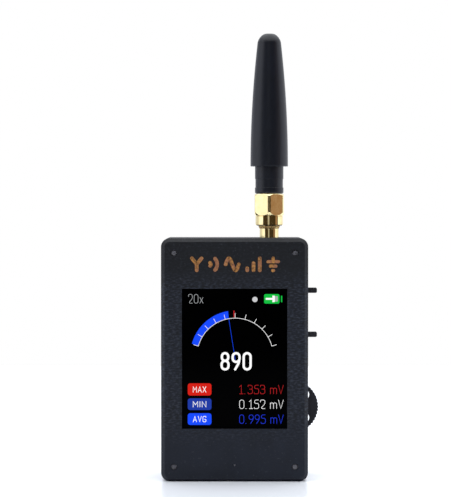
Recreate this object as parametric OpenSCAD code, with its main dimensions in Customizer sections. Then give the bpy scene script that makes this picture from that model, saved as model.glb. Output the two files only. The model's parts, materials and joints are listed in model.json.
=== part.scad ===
// Pocket field strength meter: a two-piece printed case with a colour screen, two slide switches,
// a thumbwheel and a screw-on stub antenna. Millimetres. The origin is the middle of the base,
// +Z is up, the screen faces -Y and +X is to the right of someone who reads the screen.

/* [Case] */
// Width of the case
case_w = 40; // [38:0.5:46]
// Height of the case
case_h = 66.2; // [65:0.1:76]
// Depth of the case, front to back
case_d = 20; // [19:0.5:26]
// Radius of the four corners
corner_r = 2.4; // [1.8:0.1:3.4]
// Chamfer round the front and rear faces
edge_chamfer = 1; // [0.5:0.1:1.4]
// Thickness of the front and rear walls
face_wall = 2; // [1.6:0.1:2.4]
// Thickness of the walls round the sides
side_wall = 1.8; // [1.5:0.1:2]
// Diameter of the pinhole over the status light
pinhole_d = 0.6; // [0.5:0.1:1.2]
// Height of the pinhole above the base
pinhole_z = 4.5; // [3.6:0.1:4.8]

/* [Case lip] */
// Thickness of the rear shell's locating tabs
tab_t = 1.1; // [0.8:0.1:1.4]
// How far the tabs reach into the front shell
tab_depth = 1.5; // [1:0.1:1.8]
// Length of the left-hand tab
side_tab_l = 26; // [12:1:34]
// Length of the tabs at the top and the bottom
end_tab_l = 6; // [4:0.5:7]
// Distance of the top and bottom tabs from the middle
end_tab_x = 10; // [9.5:0.1:10.5]

/* [Case screws] */
// Diameter of the screws
screw_d = 1.6; // [1.4:0.1:1.8]
// Diameter of the screw heads
screw_head_d = 3; // [2.6:0.1:3.4]
// Height of the screw heads
screw_head_h = 1.3; // [1:0.1:1.5]
// Depth of the screw heads below the rear face
screw_head_depth = 0.4; // [0.2:0.1:0.6]
// Depth of the screw tips below the front face
screw_tip_depth = 0.3; // [0.1:0.1:0.8]
// Distance of the screws from the sides of the case
screw_side_inset = 3.55; // [3.4:0.05:3.8]
// Distance of the screws from the top and the base
screw_end_inset = 4; // [3.6:0.1:4.2]
// Diameter of the screw posts
post_d = 4.6; // [4.2:0.1:5]

/* [Screen] */
// Width of the screen window
window_w = 28.6; // [26:0.1:30]
// Height of the screen window
window_h = 38.1; // [34:0.1:40]
// Height of the window's lower edge above the base
window_bottom = 14.4; // [14:0.1:16]
// Thickness of the display glass
glass_t = 1.2; // [1:0.1:1.5]
// Lap of the glass behind the sides of the window
glass_lap = 1.5; // [1:0.1:1.8]
// Lap of the glass behind the top of the window
glass_top_lap = 0.7; // [0.5:0.1:1.4]
// Depth of the glass below the window
glass_ledge = 6; // [5.4:0.1:6.2]
// Thickness of the backlight
backlight_t = 0.9; // [0.7:0.1:1.2]
// Depth of the backlight below the window
backlight_ledge = 3.4; // [2:0.1:3.6]
// Thickness of the foam pad behind the backlight
foam_t = 0.3; // [0.2:0.1:0.6]
// Width of the foam pad's border
foam_border = 3; // [2:0.5:6]
// Width of the display's flexible tail
flex_w = 12; // [8:0.5:16]
// Thickness of the display's flexible tail
flex_t = 0.2; // [0.1:0.05:0.3]
// Depth of the tail's connector along the board
connector_l = 2.2; // [1.8:0.1:2.4]

/* [Circuit board] */
// Thickness of the circuit board
board_t = 1.6; // [1.2:0.1:1.8]
// Gap between the circuit board and the walls
board_gap = 0.4; // [0.2:0.1:0.5]
// Width of the processor board
processor_w = 18; // [16:0.5:18]
// Height of the processor board
processor_h = 25.5; // [22:0.5:25.5]
// Thickness of the processor board
processor_t = 0.8; // [0.6:0.1:1]
// Width of the processor's metal can
processor_can_w = 15.8; // [13:0.1:15.8]
// Height of the processor's metal can
processor_can_h = 17.6; // [15:0.1:19]
// Thickness of the processor's metal can, front to back
processor_can_t = 2.3; // [1.8:0.1:2.4]
// Width of the radio shield
shield_w = 11; // [9:0.5:11]
// Height of the radio shield
shield_h = 8.5; // [7:0.5:8.5]
// Thickness of the radio shield, front to back
shield_t = 2; // [1.6:0.1:2.2]
// Thickness of the cans' sheet metal
can_sheet = 0.25; // [0.2:0.05:0.3]

/* [Battery] */
// Width of the battery
battery_w = 25; // [20:0.5:26]
// Height of the battery, with its protection strip
battery_h = 36; // [30:0.5:38]
// Thickness of the battery
battery_t = 5; // [4:0.1:5.2]
// Height of the battery's lower edge above the base
battery_bottom = 13; // [12:0.1:14]
// Sideways place of the battery's middle
battery_x = -2; // [-3:0.1:-1]
// Thickness of the adhesive tape behind the battery
tape_t = 0.3; // [0.2:0.1:0.5]
// Diameter of the battery leads
lead_d = 1; // [0.8:0.1:1.2]
// Spacing of the battery leads
lead_pitch = 2; // [1.8:0.1:2.2]
// Bend radius of the battery leads
lead_bend = 2; // [1.6:0.1:2.2]
// Distance of the battery socket's middle from the left side of the case
socket_inset = 10.4; // [10.2:0.1:11]
// Height of the battery socket's middle above the base
socket_z = 7.2; // [7.1:0.1:7.6]

/* [USB socket] */
// Width of the socket
usb_w = 8.94; // [8.6:0.02:9.2]
// Height of the socket above the board
usb_h = 3.26; // [3:0.02:3.4]
// Corner radius of the socket
usb_corner_r = 1.4; // [1.2:0.05:1.45]
// Depth of the socket
usb_l = 7.35; // [6.5:0.05:7.4]
// Thickness of the socket's sheet metal
usb_sheet = 0.3; // [0.2:0.05:0.35]
// Depth of the socket's mouth below the base
usb_mouth = 0.7; // [0.2:0.1:1.2]

/* [Slide switches] */
// Distance of the power lever below the top of the case
power_lever_drop = 14.45; // [13.6:0.05:14.8]
// Distance of the gain lever below the top of the case
gain_lever_drop = 26.6; // [25.5:0.05:27]
// Travel of the levers
lever_travel = 2; // [1.5:0.1:2.2]
// Thickness of the levers, front to back
lever_w = 1.5; // [1.2:0.1:1.6]
// Height of the levers
lever_h = 1.45; // [1.2:0.05:1.6]
// Reach of the levers beyond the case
lever_reach = 2.7; // [2:0.1:4]
// Height of the lever axis above the board
lever_axis = 2; // [1.9:0.05:2.1]
// Length of the switch bodies
switch_l = 8.6; // [8:0.1:9]
// Width of the switch bodies
switch_w = 3.7; // [3.4:0.1:4]
// Height of the switch bodies above the board
switch_h = 3.5; // [3.4:0.1:3.8]
// Height of the switches' plastic bases
switch_base_h = 0.7; // [0.5:0.1:0.8]
// Length of the sliding blocks inside the switches
slider_l = 3.6; // [3:0.1:4]

/* [Thumbwheel] */
// Radius of the thumbwheel over its teeth
wheel_r = 7.2; // [6.9:0.1:7.6]
// Thickness of the thumbwheel
wheel_t = 2.2; // [1.8:0.1:2.6]
// Reach of the thumbwheel beyond the case
wheel_reach = 3.1; // [3:0.1:3.6]
// Height of the thumbwheel's axis above the base
wheel_z = 19.6; // [19:0.05:21]
// Number of teeth round the rim
wheel_teeth = 48; // [36:1:60]
// Depth of the teeth
tooth_depth = 0.2; // [0.1:0.05:0.4]
// Width of the rim
rim_w = 0.8; // [0.6:0.1:1]
// Diameter of the round holes through the web
web_hole_d = 3.2; // [2.4:0.1:3.3]
// Number of holes through the web
web_holes = 4; // [3:1:5]
// Depth of the ring-shaped recess in the wheel's face
web_recess = 0.5; // [0.3:0.1:0.7]
// Diameter of the wheel's hub
hub_d = 5.2; // [5:0.1:6]
// Radius of the potentiometer's base
pot_r = 5; // [4.5:0.1:5.5]
// Height of the potentiometer's base above the board
pot_h = 1.6; // [1.4:0.1:1.8]
// Diameter of the potentiometer's rotor
rotor_d = 3.4; // [3.2:0.1:3.6]
// Diameter of the rotor's shaft
shaft_d = 2.6; // [2.4:0.1:2.8]
// Distance of the shaft's flat from its axis
shaft_flat = 0.9; // [0.7:0.05:1]
// Diameter of the wheel screw's head
wheel_screw_head_d = 3.4; // [3:0.1:3.8]
// Height of the wheel screw's head
wheel_screw_head_h = 0.7; // [0.5:0.1:0.8]
// Diameter of the wheel screw
wheel_screw_d = 1.2; // [1:0.1:1.4]
// Length of the wheel screw below its head
wheel_screw_l = 1.8; // [1.4:0.1:2]

/* [Antenna jack] */
// Distance of the antenna's axis from the right side of the case
antenna_inset = 10.4; // [9.8:0.05:10.6]
// Width of the jack's block
block_w = 6.5; // [6.2:0.1:6.8]
// Height of the jack's block
block_h = 6.6; // [6:0.1:7]
// Height of the jack's axis above the board
jack_axis = 4; // [3.6:0.1:4.4]
// Diameter of the jack's neck
neck_d = 5.3; // [5.1:0.05:5.6]
// Length of the neck between the case and the nut
neck_l = 3.35; // [3:0.05:8]
// Diameter of the collar at the top of the neck
collar_d = 5.6; // [5.4:0.05:6]
// How far the collar shows below the nut
collar_drop = 0.6; // [0.3:0.1:1.2]
// Diameter of the jack's thread
thread_d = 6.35; // [6.2:0.05:6.5]
// Length of the jack's thread
thread_l = 3.5; // [3:0.1:4]
// Diameter of the white insulators
insulator_d = 4.1; // [3.8:0.05:4.15]
// Diameter of the socket contact
contact_d = 1.27; // [1.2:0.01:1.5]
// Diameter of the plug's pin
pin_d = 0.9; // [0.8:0.02:0.94]
// Diameter of the jack's legs
leg_d = 1; // [0.8:0.1:1.2]

/* [Coupling nut] */
// Width of the nut across its flats
nut_flats = 8; // [7.8:0.1:8.4]
// Height of the hexagon
nut_hex_h = 5.85; // [5.6:0.05:6.6]
// Height of the chamfer at the hexagon's corners
nut_chamfer = 0.55; // [0.4:0.05:1]
// Chamfer round the lower edge of the skirt
skirt_chamfer = 0.25; // [0.2:0.05:0.4]
// Diameter of the round skirt
skirt_d = 7.65; // [7.3:0.05:7.8]
// Height of the round skirt
skirt_h = 2.8; // [2.2:0.1:3]
// Depth of the unthreaded mouth of the nut
nut_mouth = 1.95; // [1.6:0.05:2.2]

/* [Antenna plug] */
// Diameter of the plug's ferrule
ferrule_d = 4.5; // [4.4:0.05:4.6]
// Length of the ferrule inside the jack
ferrule_l = 1.95; // [1.6:0.05:2.1]
// Diameter of the plug's flange
flange_d = 6.1; // [5.9:0.05:6.15]
// Thickness of the plug's flange
flange_t = 0.6; // [0.4:0.1:0.7]
// Diameter of the plug's shank
shank_d = 5; // [4.9:0.05:5.1]
// Depth of the ring groove in the shank
groove_depth = 0.35; // [0.3:0.05:0.4]
// Thickness of the retaining ring
ring_t = 0.4; // [0.3:0.05:0.5]
// Width of the retaining ring
ring_w = 0.65; // [0.55:0.05:0.7]
// Opening angle of the retaining ring
ring_gap_angle = 40; // [20:5:60]
// Thickness of the gasket
gasket_t = 0.3; // [0.2:0.05:0.5]

/* [Antenna] */
// Height of the antenna's foot below the sleeve
foot_h = 7.55; // [7:0.05:9]
// Diameter of the foot's flange
foot_flange_d = 7.9; // [7.7:0.1:8.4]
// Height of the foot's flange
foot_flange_h = 1.7; // [1.4:0.1:2]
// Rounding of the flange's lower edge
foot_round = 0.5; // [0.3:0.1:0.8]
// Diameter of the foot above the flange
foot_d = 7.6; // [7.4:0.05:7.8]
// Diameter of the foot just below the sleeve
foot_top_d = 7.85; // [7.6:0.05:8.2]
// Height of that part of the foot below the sleeve
foot_top_h = 3.5; // [2:0.1:4]
// Depth of the foot inside the sleeve's skirt
foot_seat = 3.9; // [3:0.1:5]
// Diameter of the foot's stem
stem_d = 6.4; // [6:0.1:6.6]
// Length of the foot's stem
stem_l = 6; // [5:0.1:7]
// Length of the sleeve
sleeve_l = 36.5; // [36:0.1:60]
// Diameter of the sleeve's skirt
sleeve_d = 10.35; // [10.2:0.05:11.2]
// Diameter of the sleeve at its shoulder
shoulder_d = 6.5; // [6.2:0.05:7]
// Height of the rounded top above the shoulder
crown_h = 2.6; // [2:0.1:3.4]
// Diameter of the flat top
crown_d = 2.2; // [1.6:0.1:3]
// Diameter of the coil's wire
wire_d = 0.8; // [0.6:0.05:0.85]
// Diameter of the coil at the middle of its wire
coil_d = 4; // [3.6:0.1:4.1]
// Number of turns in the coil
coil_turns = 10; // [6:1:14]
// Clear space above the coil
coil_headroom = 5; // [4.5:0.1:8]

/* [Clearances] */
// Gap between pieces that are pressed or glued together
fit_gap = 0.05; // [0.02:0.01:0.08]
// Gap between pieces that turn or slide in each other
run_gap = 0.1; // [0.06:0.01:0.14]
// Gap round the levers and the antenna's neck in the case
slot_gap = 0.3; // [0.2:0.05:0.35]
// Gap round the thumbwheel in the case
wheel_gap = 0.4; // [0.3:0.05:0.5]
// Gap between the rear shell's tabs and the front shell
tab_gap = 0.15; // [0.1:0.05:0.2]

/* [Hidden] */
$fn = 64;
through = 1;

// Inner faces of the case
front_y = -case_d / 2;
rear_y = case_d / 2;
front_in = front_y + face_wall;
rear_in = rear_y - face_wall;
side_in = case_w / 2 - side_wall;
floor_in = side_wall;
ceiling_in = case_h - side_wall;
inner_r = max(corner_r - side_wall, 0.4);

// Layers from the front wall backwards
glass_rear = front_in + glass_t;
backlight_rear = glass_rear + backlight_t;
board_front = backlight_rear + foam_t;
board_rear = board_front + board_t;
split_y = board_rear + jack_axis;

// Circuit board outline
board_w = 2 * (side_in - board_gap);
board_bottom = floor_in + board_gap;
board_top = ceiling_in - board_gap;
board_corner_r = 1;

// Case screws
screw_x = case_w / 2 - screw_side_inset;
screw_zs = [screw_end_inset, case_h - screw_end_inset];
screw_seat = rear_y - screw_head_depth - screw_head_h;

// Display
glass_w = window_w + 2 * glass_lap;
glass_bottom = window_bottom - glass_ledge;
glass_top = window_bottom + window_h + glass_top_lap;
backlight_bottom = window_bottom - backlight_ledge;
connector_top = glass_bottom - run_gap;
flex_bottom = connector_top - connector_l / 2;
flex_top = backlight_bottom - run_gap;
led_size = [1.6, 0.6, 0.8];

// Processor and radio shield, from the left-hand edge and the top of the board
processor_margin = 1.3;
processor_drop = 14.5;
processor_left = -board_w / 2 + processor_margin;
processor_top = board_top - processor_drop;
shield_left = -7;
shield_drop = 3;
shield_top = board_top - shield_drop;
charger_rise = 10.2;
charger_pitch = 6;
radio_x = 7.5;
mixer_drop = 16;
capacitor_drop = 20.5;
detector_drop = 24.5;
amplifier_drop = 32;
capacitor_pitch = 1.7;
large_chip = [5, 0.9, 5];
small_chip = [4, 0.9, 4];
regulator = [2.9, 1.1, 1.6];
capacitor = [0.8, 0.8, 1.6];
shield_vent_d = 0.8;
shield_vent_pitch = 2;

// Battery and its plug
battery_rear = rear_in - tape_t;
battery_y = battery_rear - battery_t / 2;
strip_size = [22, 3, 3];
socket_x = -case_w / 2 + socket_inset;
socket_size = [6, 2.8, 4.2];
socket_wall = 0.6;
plug_reach = 2;
tape_margin = 3;

// Charging socket
usb_y = board_rear + usb_h / 2;
usb_gap = 0.22;
usb_tongue_w = 6.7;
usb_tongue_t = 0.7;
usb_block_l = 2;

// Slide switches
lever_y = board_rear + lever_axis;
switch_face = side_in - run_gap;
power_lever_z = case_h - power_lever_drop;
gain_lever_z = case_h - gain_lever_drop;
lever_zs = [power_lever_z, gain_lever_z];
slot_h = lever_h + lever_travel + 2 * slot_gap;
slot_w = lever_w + 2 * slot_gap;

// Thumbwheel
wheel_x = case_w / 2 + wheel_reach - wheel_r;
wheel_front = board_rear + pot_h + slot_gap;
wheel_rear = wheel_front + wheel_t;
wheel_screw_sink = 0.2;
shaft_top = wheel_rear - wheel_screw_head_h - wheel_screw_sink;
pocket_floor_t = 0.5;
pocket_floor = board_rear + pocket_floor_t;

// Antenna's axis, and heights along it from the case upwards
antenna_x = case_w / 2 - antenna_inset;
block_top = ceiling_in - run_gap;
block_bottom = block_top - block_h;
nut_bottom = case_h + neck_l;
thread_bottom = nut_bottom + nut_mouth;
jack_top = thread_bottom + thread_l;
cup_gap = 0.25;
jack_cup = jack_top - ferrule_l - cup_gap;
flange_bottom = jack_top + gasket_t;
flange_top = flange_bottom + flange_t;
hex_bottom = nut_bottom + skirt_h;
nut_top = hex_bottom + nut_hex_h;
nut_shoulder = flange_top + run_gap;
foot_bottom = nut_top + run_gap;
sleeve_bottom = foot_bottom + foot_h;
foot_shoulder = sleeve_bottom + foot_seat;
stem_top = foot_shoulder + stem_l;
sleeve_top = sleeve_bottom + sleeve_l;
crown_bottom = sleeve_top - crown_h;
ring_z = (nut_shoulder + nut_top) / 2;
groove_h = ring_t + 2 * run_gap;
ring_inner_d = shank_d - 2 * groove_depth + 2 * fit_gap;
ring_outer_d = ring_inner_d + 2 * ring_w;
shank_seat = 4;
shank_top = foot_bottom + shank_seat;
pin_reach = 1.6;
pin_bottom = jack_cup - pin_reach;
coil_joint = 1.5;
pin_top = stem_top - coil_joint;
tail_rise = 3.2;
contact_bottom = block_bottom + tail_rise;

// Coil, wound from its straight lead on the axis
coil_rings = 8;
coil_bottom = stem_top + wire_d;
coil_pitch = (sleeve_top - coil_headroom - coil_bottom) / coil_turns;
lead_in_turns = 0.75;
coil_lead = [[0, 0, pin_top + fit_gap], [0, 0, stem_top]];

// Colours
case_grey = [0.16, 0.17, 0.20];
satin_black = [0.10, 0.10, 0.11];
gold = [0.83, 0.68, 0.35];
steel = [0.72, 0.73, 0.75];
board_green = [0.05, 0.30, 0.16];
insulator_white = [0.93, 0.93, 0.90];

// An outline in X and Z, made solid from y0 to y1
module slab(y0, y1) {
    translate([0, y1, 0])
        rotate([90, 0, 0])
            linear_extrude(y1 - y0)
                children();
}

// A round bar along Y
module bar(x, z, y0, y1, d) {
    translate([x, y0, z])
        rotate([-90, 0, 0])
            cylinder(d = d, h = y1 - y0);
}

// A box given by two opposite corners
module box(low, high) {
    translate(low)
        cube(high - low);
}

// A round piece on the antenna's axis
module on_axis(z0, z1, d) {
    translate([antenna_x, split_y, z0])
        cylinder(d = d, h = z1 - z0);
}

module rounded_rect(w, h, r) {
    square([w - 2 * r, h], center = true);
    square([w, h - 2 * r], center = true);
    for (x = [-1, 1], y = [-1, 1])
        translate([x * (w / 2 - r), y * (h / 2 - r)])
            circle(r);
}

// Half of the case as a solid, with its chamfered face at y = 0
module case_half(depth) {
    translate([0, 0, case_h / 2])
        slab(edge_chamfer, depth)
            rounded_rect(case_w, case_h, corner_r);
    rotate([90, 0, 90])
        linear_extrude(case_w - 2 * corner_r, center = true)
            polygon([
                [0, edge_chamfer], [edge_chamfer, 0],
                [edge_chamfer, case_h], [0, case_h - edge_chamfer]
            ]);
    translate([0, 0, corner_r])
        linear_extrude(case_h - 2 * corner_r)
            polygon([
                [-case_w / 2 + edge_chamfer, 0], [case_w / 2 - edge_chamfer, 0],
                [case_w / 2, edge_chamfer], [-case_w / 2, edge_chamfer]
            ]);
    for (x = [-1, 1], z = [corner_r, case_h - corner_r])
        translate([x * (case_w / 2 - corner_r), 0, z])
            rotate([-90, 0, 0])
                cylinder(r1 = corner_r - edge_chamfer, r2 = corner_r, h = edge_chamfer);
}

// The space inside the case between two depths, drawn in from the walls by a gap
module inside(y0, y1, gap = 0) {
    translate([0, 0, case_h / 2])
        slab(y0, y1)
            rounded_rect(2 * (side_in - gap), case_h - 2 * (side_wall + gap), inner_r);
}

module screw_posts(y0, y1) {
    for (x = [-screw_x, screw_x], z = screw_zs)
        bar(x, z, y0, y1, post_d);
}

module screw_holes(y0, y1, d) {
    for (x = [-screw_x, screw_x], z = screw_zs)
        bar(x, z, y0, y1, d);
}

module window_cut() {
    box([-window_w / 2, front_y - through, window_bottom],
        [window_w / 2, front_in + through, window_bottom + window_h]);
}

// The slots in the right-hand wall that the levers move in, open to the joint between the shells
module lever_slots(rear) {
    for (z = lever_zs)
        box([side_in - through, lever_y - slot_w / 2, z - lever_travel - lever_h / 2 - slot_gap],
            [case_w / 2 + through, rear, z + lever_h / 2 + slot_gap]);
}

// Room for the thumbwheel in the wall
module wheel_slot() {
    bar(wheel_x, wheel_z, wheel_front - wheel_gap, wheel_rear + wheel_gap, 2 * (wheel_r + wheel_gap));
}

module neck_hole() {
    on_axis(block_top, case_h + through, neck_d + 2 * slot_gap);
}

module usb_outline(gap = 0) {
    rounded_rect(usb_w + 2 * gap, usb_h + 2 * gap, usb_corner_r + gap);
}

module front_shell() {
    color(case_grey)
    difference() {
        union() {
            difference() {
                translate([0, front_y, 0])
                    case_half(split_y - front_y);
                inside(front_in, split_y + through);
            }
            screw_posts(front_in - face_wall / 2, board_front);
        }
        screw_holes(front_y - through, board_front + through, screw_d + 2 * fit_gap);
        window_cut();
        bar(0, pinhole_z, front_y - through, front_in + through, pinhole_d);
        lever_slots(split_y + through);
        wheel_slot();
        neck_hole();
        translate([0, usb_y, -through])
            linear_extrude(floor_in + 2 * through)
                usb_outline(usb_gap);
    }
}

// A tab from the rear shell's rim into the front shell: its length along X, the wall at y > 0, depth along Z
module rim_tab(l) {
    wall_grip = 0.2;
    root = 2;
    box([-l / 2, -tab_t - tab_gap, split_y], [l / 2, wall_grip, split_y + root]);
    box([-l / 2, -tab_t - tab_gap, split_y - tab_depth], [l / 2, -tab_gap, split_y + through]);
}

module rim_tabs() {
    translate([-side_in, 0, case_h / 2])
        rotate([-90, 0, 0])
            rotate([0, 0, 90])
                rim_tab(side_tab_l);
    translate([-end_tab_x, 0, ceiling_in])
        rotate([-90, 0, 0])
            rotate([0, 0, 180])
                rim_tab(end_tab_l);
    for (x = [-end_tab_x, end_tab_x])
        translate([x, 0, floor_in])
            rotate([-90, 0, 0])
                rim_tab(end_tab_l);
}

// Blocks on the rear shell's rim that close the lever slots behind the levers
module slot_keepers() {
    for (z = lever_zs)
        box([side_in, lever_y + slot_w / 2, z - lever_travel - lever_h / 2 - slot_gap + run_gap],
            [case_w / 2, split_y + face_wall, z + lever_h / 2 + slot_gap - run_gap]);
}

module rear_shell() {
    color(case_grey)
    difference() {
        union() {
            difference() {
                translate([0, rear_y, 0])
                    mirror([0, 1, 0])
                        case_half(rear_y - split_y);
                inside(split_y - through, rear_in);
            }
            screw_posts(split_y + tab_depth, rear_in + face_wall / 2);
            intersection() {
                screw_posts(board_rear, rear_in);
                inside(board_rear - through, rear_in, tab_gap);
            }
            rim_tabs();
            slot_keepers();
        }
        screw_holes(board_rear - through, rear_y, screw_d + slot_gap);
        screw_holes(screw_seat, rear_y + through, screw_head_d + slot_gap);
        wheel_slot();
        neck_hole();
    }
}

module case_screw() {
    tip = 0.4;
    socket_d = screw_head_d / 2;
    shank_l = screw_seat - front_y - screw_tip_depth;
    rotate([90, 0, 0])
        cylinder(d = screw_d, h = shank_l - tip);
    translate([0, tip - shank_l, 0])
        rotate([90, 0, 0])
            cylinder(d1 = screw_d, d2 = screw_d - 2 * tip, h = tip);
    difference() {
        rotate([-90, 0, 0])
            cylinder(d = screw_head_d, h = screw_head_h);
        translate([0, screw_head_h / 2, 0])
            rotate([-90, 0, 0])
                cylinder(d = socket_d, h = screw_head_h, $fn = 6);
    }
}

module case_screws() {
    color(steel)
    for (x = [-screw_x, screw_x], z = screw_zs)
        translate([x, screw_seat, z])
            case_screw();
}

module lcd_glass() {
    color([0.05, 0.05, 0.06])
        box([-glass_w / 2, front_in, glass_bottom], [glass_w / 2, glass_rear, glass_top]);
}

module lcd_backlight() {
    edge = 0.3;
    color([0.85, 0.85, 0.86])
        box([-glass_w / 2 + edge, glass_rear, backlight_bottom],
            [glass_w / 2 - edge, backlight_rear, glass_top - edge]);
}

module lcd_foam_pad() {
    edge = 0.6;
    low = [-glass_w / 2 + edge, backlight_rear, backlight_bottom + edge];
    high = [glass_w / 2 - edge, board_front, glass_top - edge];
    margin = [foam_border, 0, foam_border];
    color([0.2, 0.2, 0.2])
    difference() {
        box(low, high);
        box(low + margin - [0, through, 0], high - margin + [0, through, 0]);
    }
}

module lcd_flex() {
    color([0.75, 0.45, 0.12])
        box([-flex_w / 2, glass_rear, flex_bottom], [flex_w / 2, glass_rear + flex_t, flex_top]);
}

module flex_connector() {
    end = 1;
    color([0.9, 0.88, 0.8])
        box([-flex_w / 2 - end, glass_rear + flex_t, connector_top - connector_l],
            [flex_w / 2 + end, board_front, connector_top]);
}

module main_board() {
    color(board_green)
    difference() {
        translate([0, 0, (board_bottom + board_top) / 2])
            slab(board_front, board_rear)
                rounded_rect(board_w, board_top - board_bottom, board_corner_r);
        screw_holes(board_front - through, board_rear + through, screw_d + slot_gap);
        jack_legs(board_front - through, leg_d + 2 * run_gap);
        bar(antenna_x, contact_bottom, board_front - through, board_rear + through, leg_d + 2 * run_gap);
    }
}

// A package on the rear of the board, centred on a place in X and Z
module package(x, z, size) {
    translate([x - size.x / 2, board_rear, z - size.z / 2])
        cube(size);
}

module board_chips() {
    color([0.12, 0.12, 0.13]) {
        package(0, board_bottom + charger_rise, small_chip);
        package(charger_pitch, board_bottom + charger_rise, regulator);
        package(-charger_pitch, board_bottom + charger_rise, large_chip);
        package(radio_x, board_top - mixer_drop, large_chip);
        package(radio_x, board_top - detector_drop, small_chip);
        package(radio_x, board_top - amplifier_drop, small_chip);
    }
    color([0.7, 0.6, 0.45])
    for (i = [-2:2])
        package(radio_x + capacitor_pitch * i, board_top - capacitor_drop, capacitor);
}

module processor_board() {
    color([0.08, 0.10, 0.14])
        box([processor_left, board_rear, processor_top - processor_h],
            [processor_left + processor_w, board_rear + processor_t, processor_top]);
}

// An open box of sheet metal that stands on y = low.y
module sheet_can(low, high, sheet) {
    inset = [sheet, 0, sheet];
    difference() {
        box(low, high);
        box(low + inset - [0, through, 0], high - inset - [0, sheet, 0]);
    }
}

module processor_can() {
    side = (processor_w - processor_can_w) / 2;
    low = [processor_left + side, board_rear + processor_t, processor_top - processor_h + side];
    color(steel)
        sheet_can(low, low + [processor_can_w, processor_can_t, processor_can_h], can_sheet);
}

module rf_shield_can() {
    low = [shield_left, board_rear, shield_top - shield_h];
    centre = low + [shield_w / 2, 0, shield_h / 2];
    color(steel)
    difference() {
        sheet_can(low, low + [shield_w, shield_t, shield_h], can_sheet);
        for (i = [-1.5:1:1.5], j = [-1:1:1])
            bar(centre.x + shield_vent_pitch * i, centre.z + shield_vent_pitch * j,
                board_rear + shield_t / 2, board_rear + shield_t + through, shield_vent_d);
    }
}

module status_led() {
    color([0.9, 0.9, 0.75])
        box([-led_size.x / 2, board_front - led_size.y, pinhole_z - led_size.z / 2],
            [led_size.x / 2, board_front, pinhole_z + led_size.z / 2]);
}

module usb_shell() {
    color(steel)
    translate([0, usb_y, usb_mouth])
    difference() {
        linear_extrude(usb_l)
            usb_outline();
        translate([0, 0, -through])
            linear_extrude(usb_l - usb_sheet + through)
                usb_outline(-usb_sheet);
    }
}

module usb_tongue() {
    inset = 0.8;
    color(satin_black)
    translate([0, usb_y, usb_mouth]) {
        translate([-usb_tongue_w / 2, -usb_tongue_t / 2, inset])
            cube([usb_tongue_w, usb_tongue_t, usb_l - usb_sheet - inset]);
        translate([0, 0, usb_l - usb_sheet - usb_block_l])
            linear_extrude(usb_block_l)
                usb_outline(-usb_sheet - fit_gap);
    }
}

module battery_cell() {
    body_bottom = battery_bottom + strip_size.z;
    edge_r = 1.8;
    color([0.78, 0.79, 0.82])
    translate([battery_x, battery_y, body_bottom])
        linear_extrude(battery_h - strip_size.z)
            rounded_rect(battery_w, battery_t, edge_r);
    color([0.75, 0.6, 0.15])
    translate([battery_x - strip_size.x / 2, battery_y - strip_size.y / 2, battery_bottom])
        cube(strip_size);
}

module battery_tape() {
    tape_w = battery_w - 2 * tape_margin;
    tape_h = battery_h - strip_size.z - 2 * tape_margin;
    color([0.9, 0.9, 0.85])
    translate([battery_x - tape_w / 2, battery_rear, battery_bottom + strip_size.z + tape_margin])
        cube([tape_w, tape_t, tape_h]);
}

module battery_socket() {
    low = [socket_x - socket_size.x / 2, board_rear, socket_z - socket_size.z / 2];
    wall = [socket_wall, 0, socket_wall];
    color([0.93, 0.92, 0.86])
    difference() {
        box(low, low + socket_size);
        box(low + wall + [0, socket_wall, 0], low + socket_size - wall + [0, through, 0]);
    }
}

module battery_plug() {
    side = socket_wall + run_gap;
    low = [socket_x - socket_size.x / 2 + side, board_rear + side, socket_z - socket_size.z / 2 + side];
    high = [2 * socket_x - low.x, board_rear + socket_size.y + plug_reach, 2 * socket_z - low.z];
    color([0.95, 0.95, 0.92])
        box(low, high);
}

// A lead that leaves the plug backwards and turns up into the battery's protection strip
module battery_lead(x) {
    start = board_rear + socket_size.y + plug_reach;
    bend_y = battery_y - lead_bend;
    bar(x, socket_z, start, bend_y, lead_d);
    translate([x, bend_y, socket_z + lead_bend])
        rotate([0, 90, 0])
            rotate_extrude(angle = 90)
                translate([lead_bend, 0])
                    circle(d = lead_d);
    translate([x, battery_y, socket_z + lead_bend])
        cylinder(d = lead_d, h = battery_bottom - socket_z - lead_bend);
}

module battery_lead_red() {
    color([0.75, 0.08, 0.08])
        battery_lead(socket_x - lead_pitch / 2);
}

module battery_lead_black() {
    color([0.08, 0.08, 0.08])
        battery_lead(socket_x + lead_pitch / 2);
}

// Metal cover of a slide switch, open towards the board and slotted for the lever
module switch_can(lever_z) {
    middle = lever_z - lever_travel / 2;
    color(steel)
    difference() {
        sheet_can([switch_face - switch_w, board_rear, middle - switch_l / 2],
            [switch_face, board_rear + switch_h, middle + switch_l / 2], can_sheet);
        box([switch_face - can_sheet - through, lever_y - slot_w / 2, middle - slot_h / 2],
            [switch_face + through, lever_y + slot_w / 2, middle + slot_h / 2]);
    }
}

module switch_base(lever_z) {
    middle = lever_z - lever_travel / 2;
    side = can_sheet + fit_gap;
    color(satin_black)
        box([switch_face - switch_w + side, board_rear, middle - switch_l / 2 + side],
            [switch_face - side, board_rear + switch_base_h, middle + switch_l / 2 - side]);
}

// Lever and the block that slides inside the cover, at the upper end of its travel
module switch_lever(lever_z) {
    side = can_sheet + run_gap;
    tip_edge = 0.25;
    tip = case_w / 2 + lever_reach;
    low = lever_z - lever_h / 2;
    high = lever_z + lever_h / 2;
    color(satin_black) {
        box([switch_face - switch_w + side, board_rear + switch_base_h + run_gap, lever_z - slider_l / 2],
            [switch_face - side, board_rear + switch_h - side, lever_z + slider_l / 2]);
        slab(lever_y - lever_w / 2, lever_y + lever_w / 2)
            polygon([
                [switch_face - side - through, low], [tip - tip_edge, low], [tip, low + tip_edge],
                [tip, high - tip_edge], [tip - tip_edge, high], [switch_face - side - through, high]
            ]);
    }
}

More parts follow.
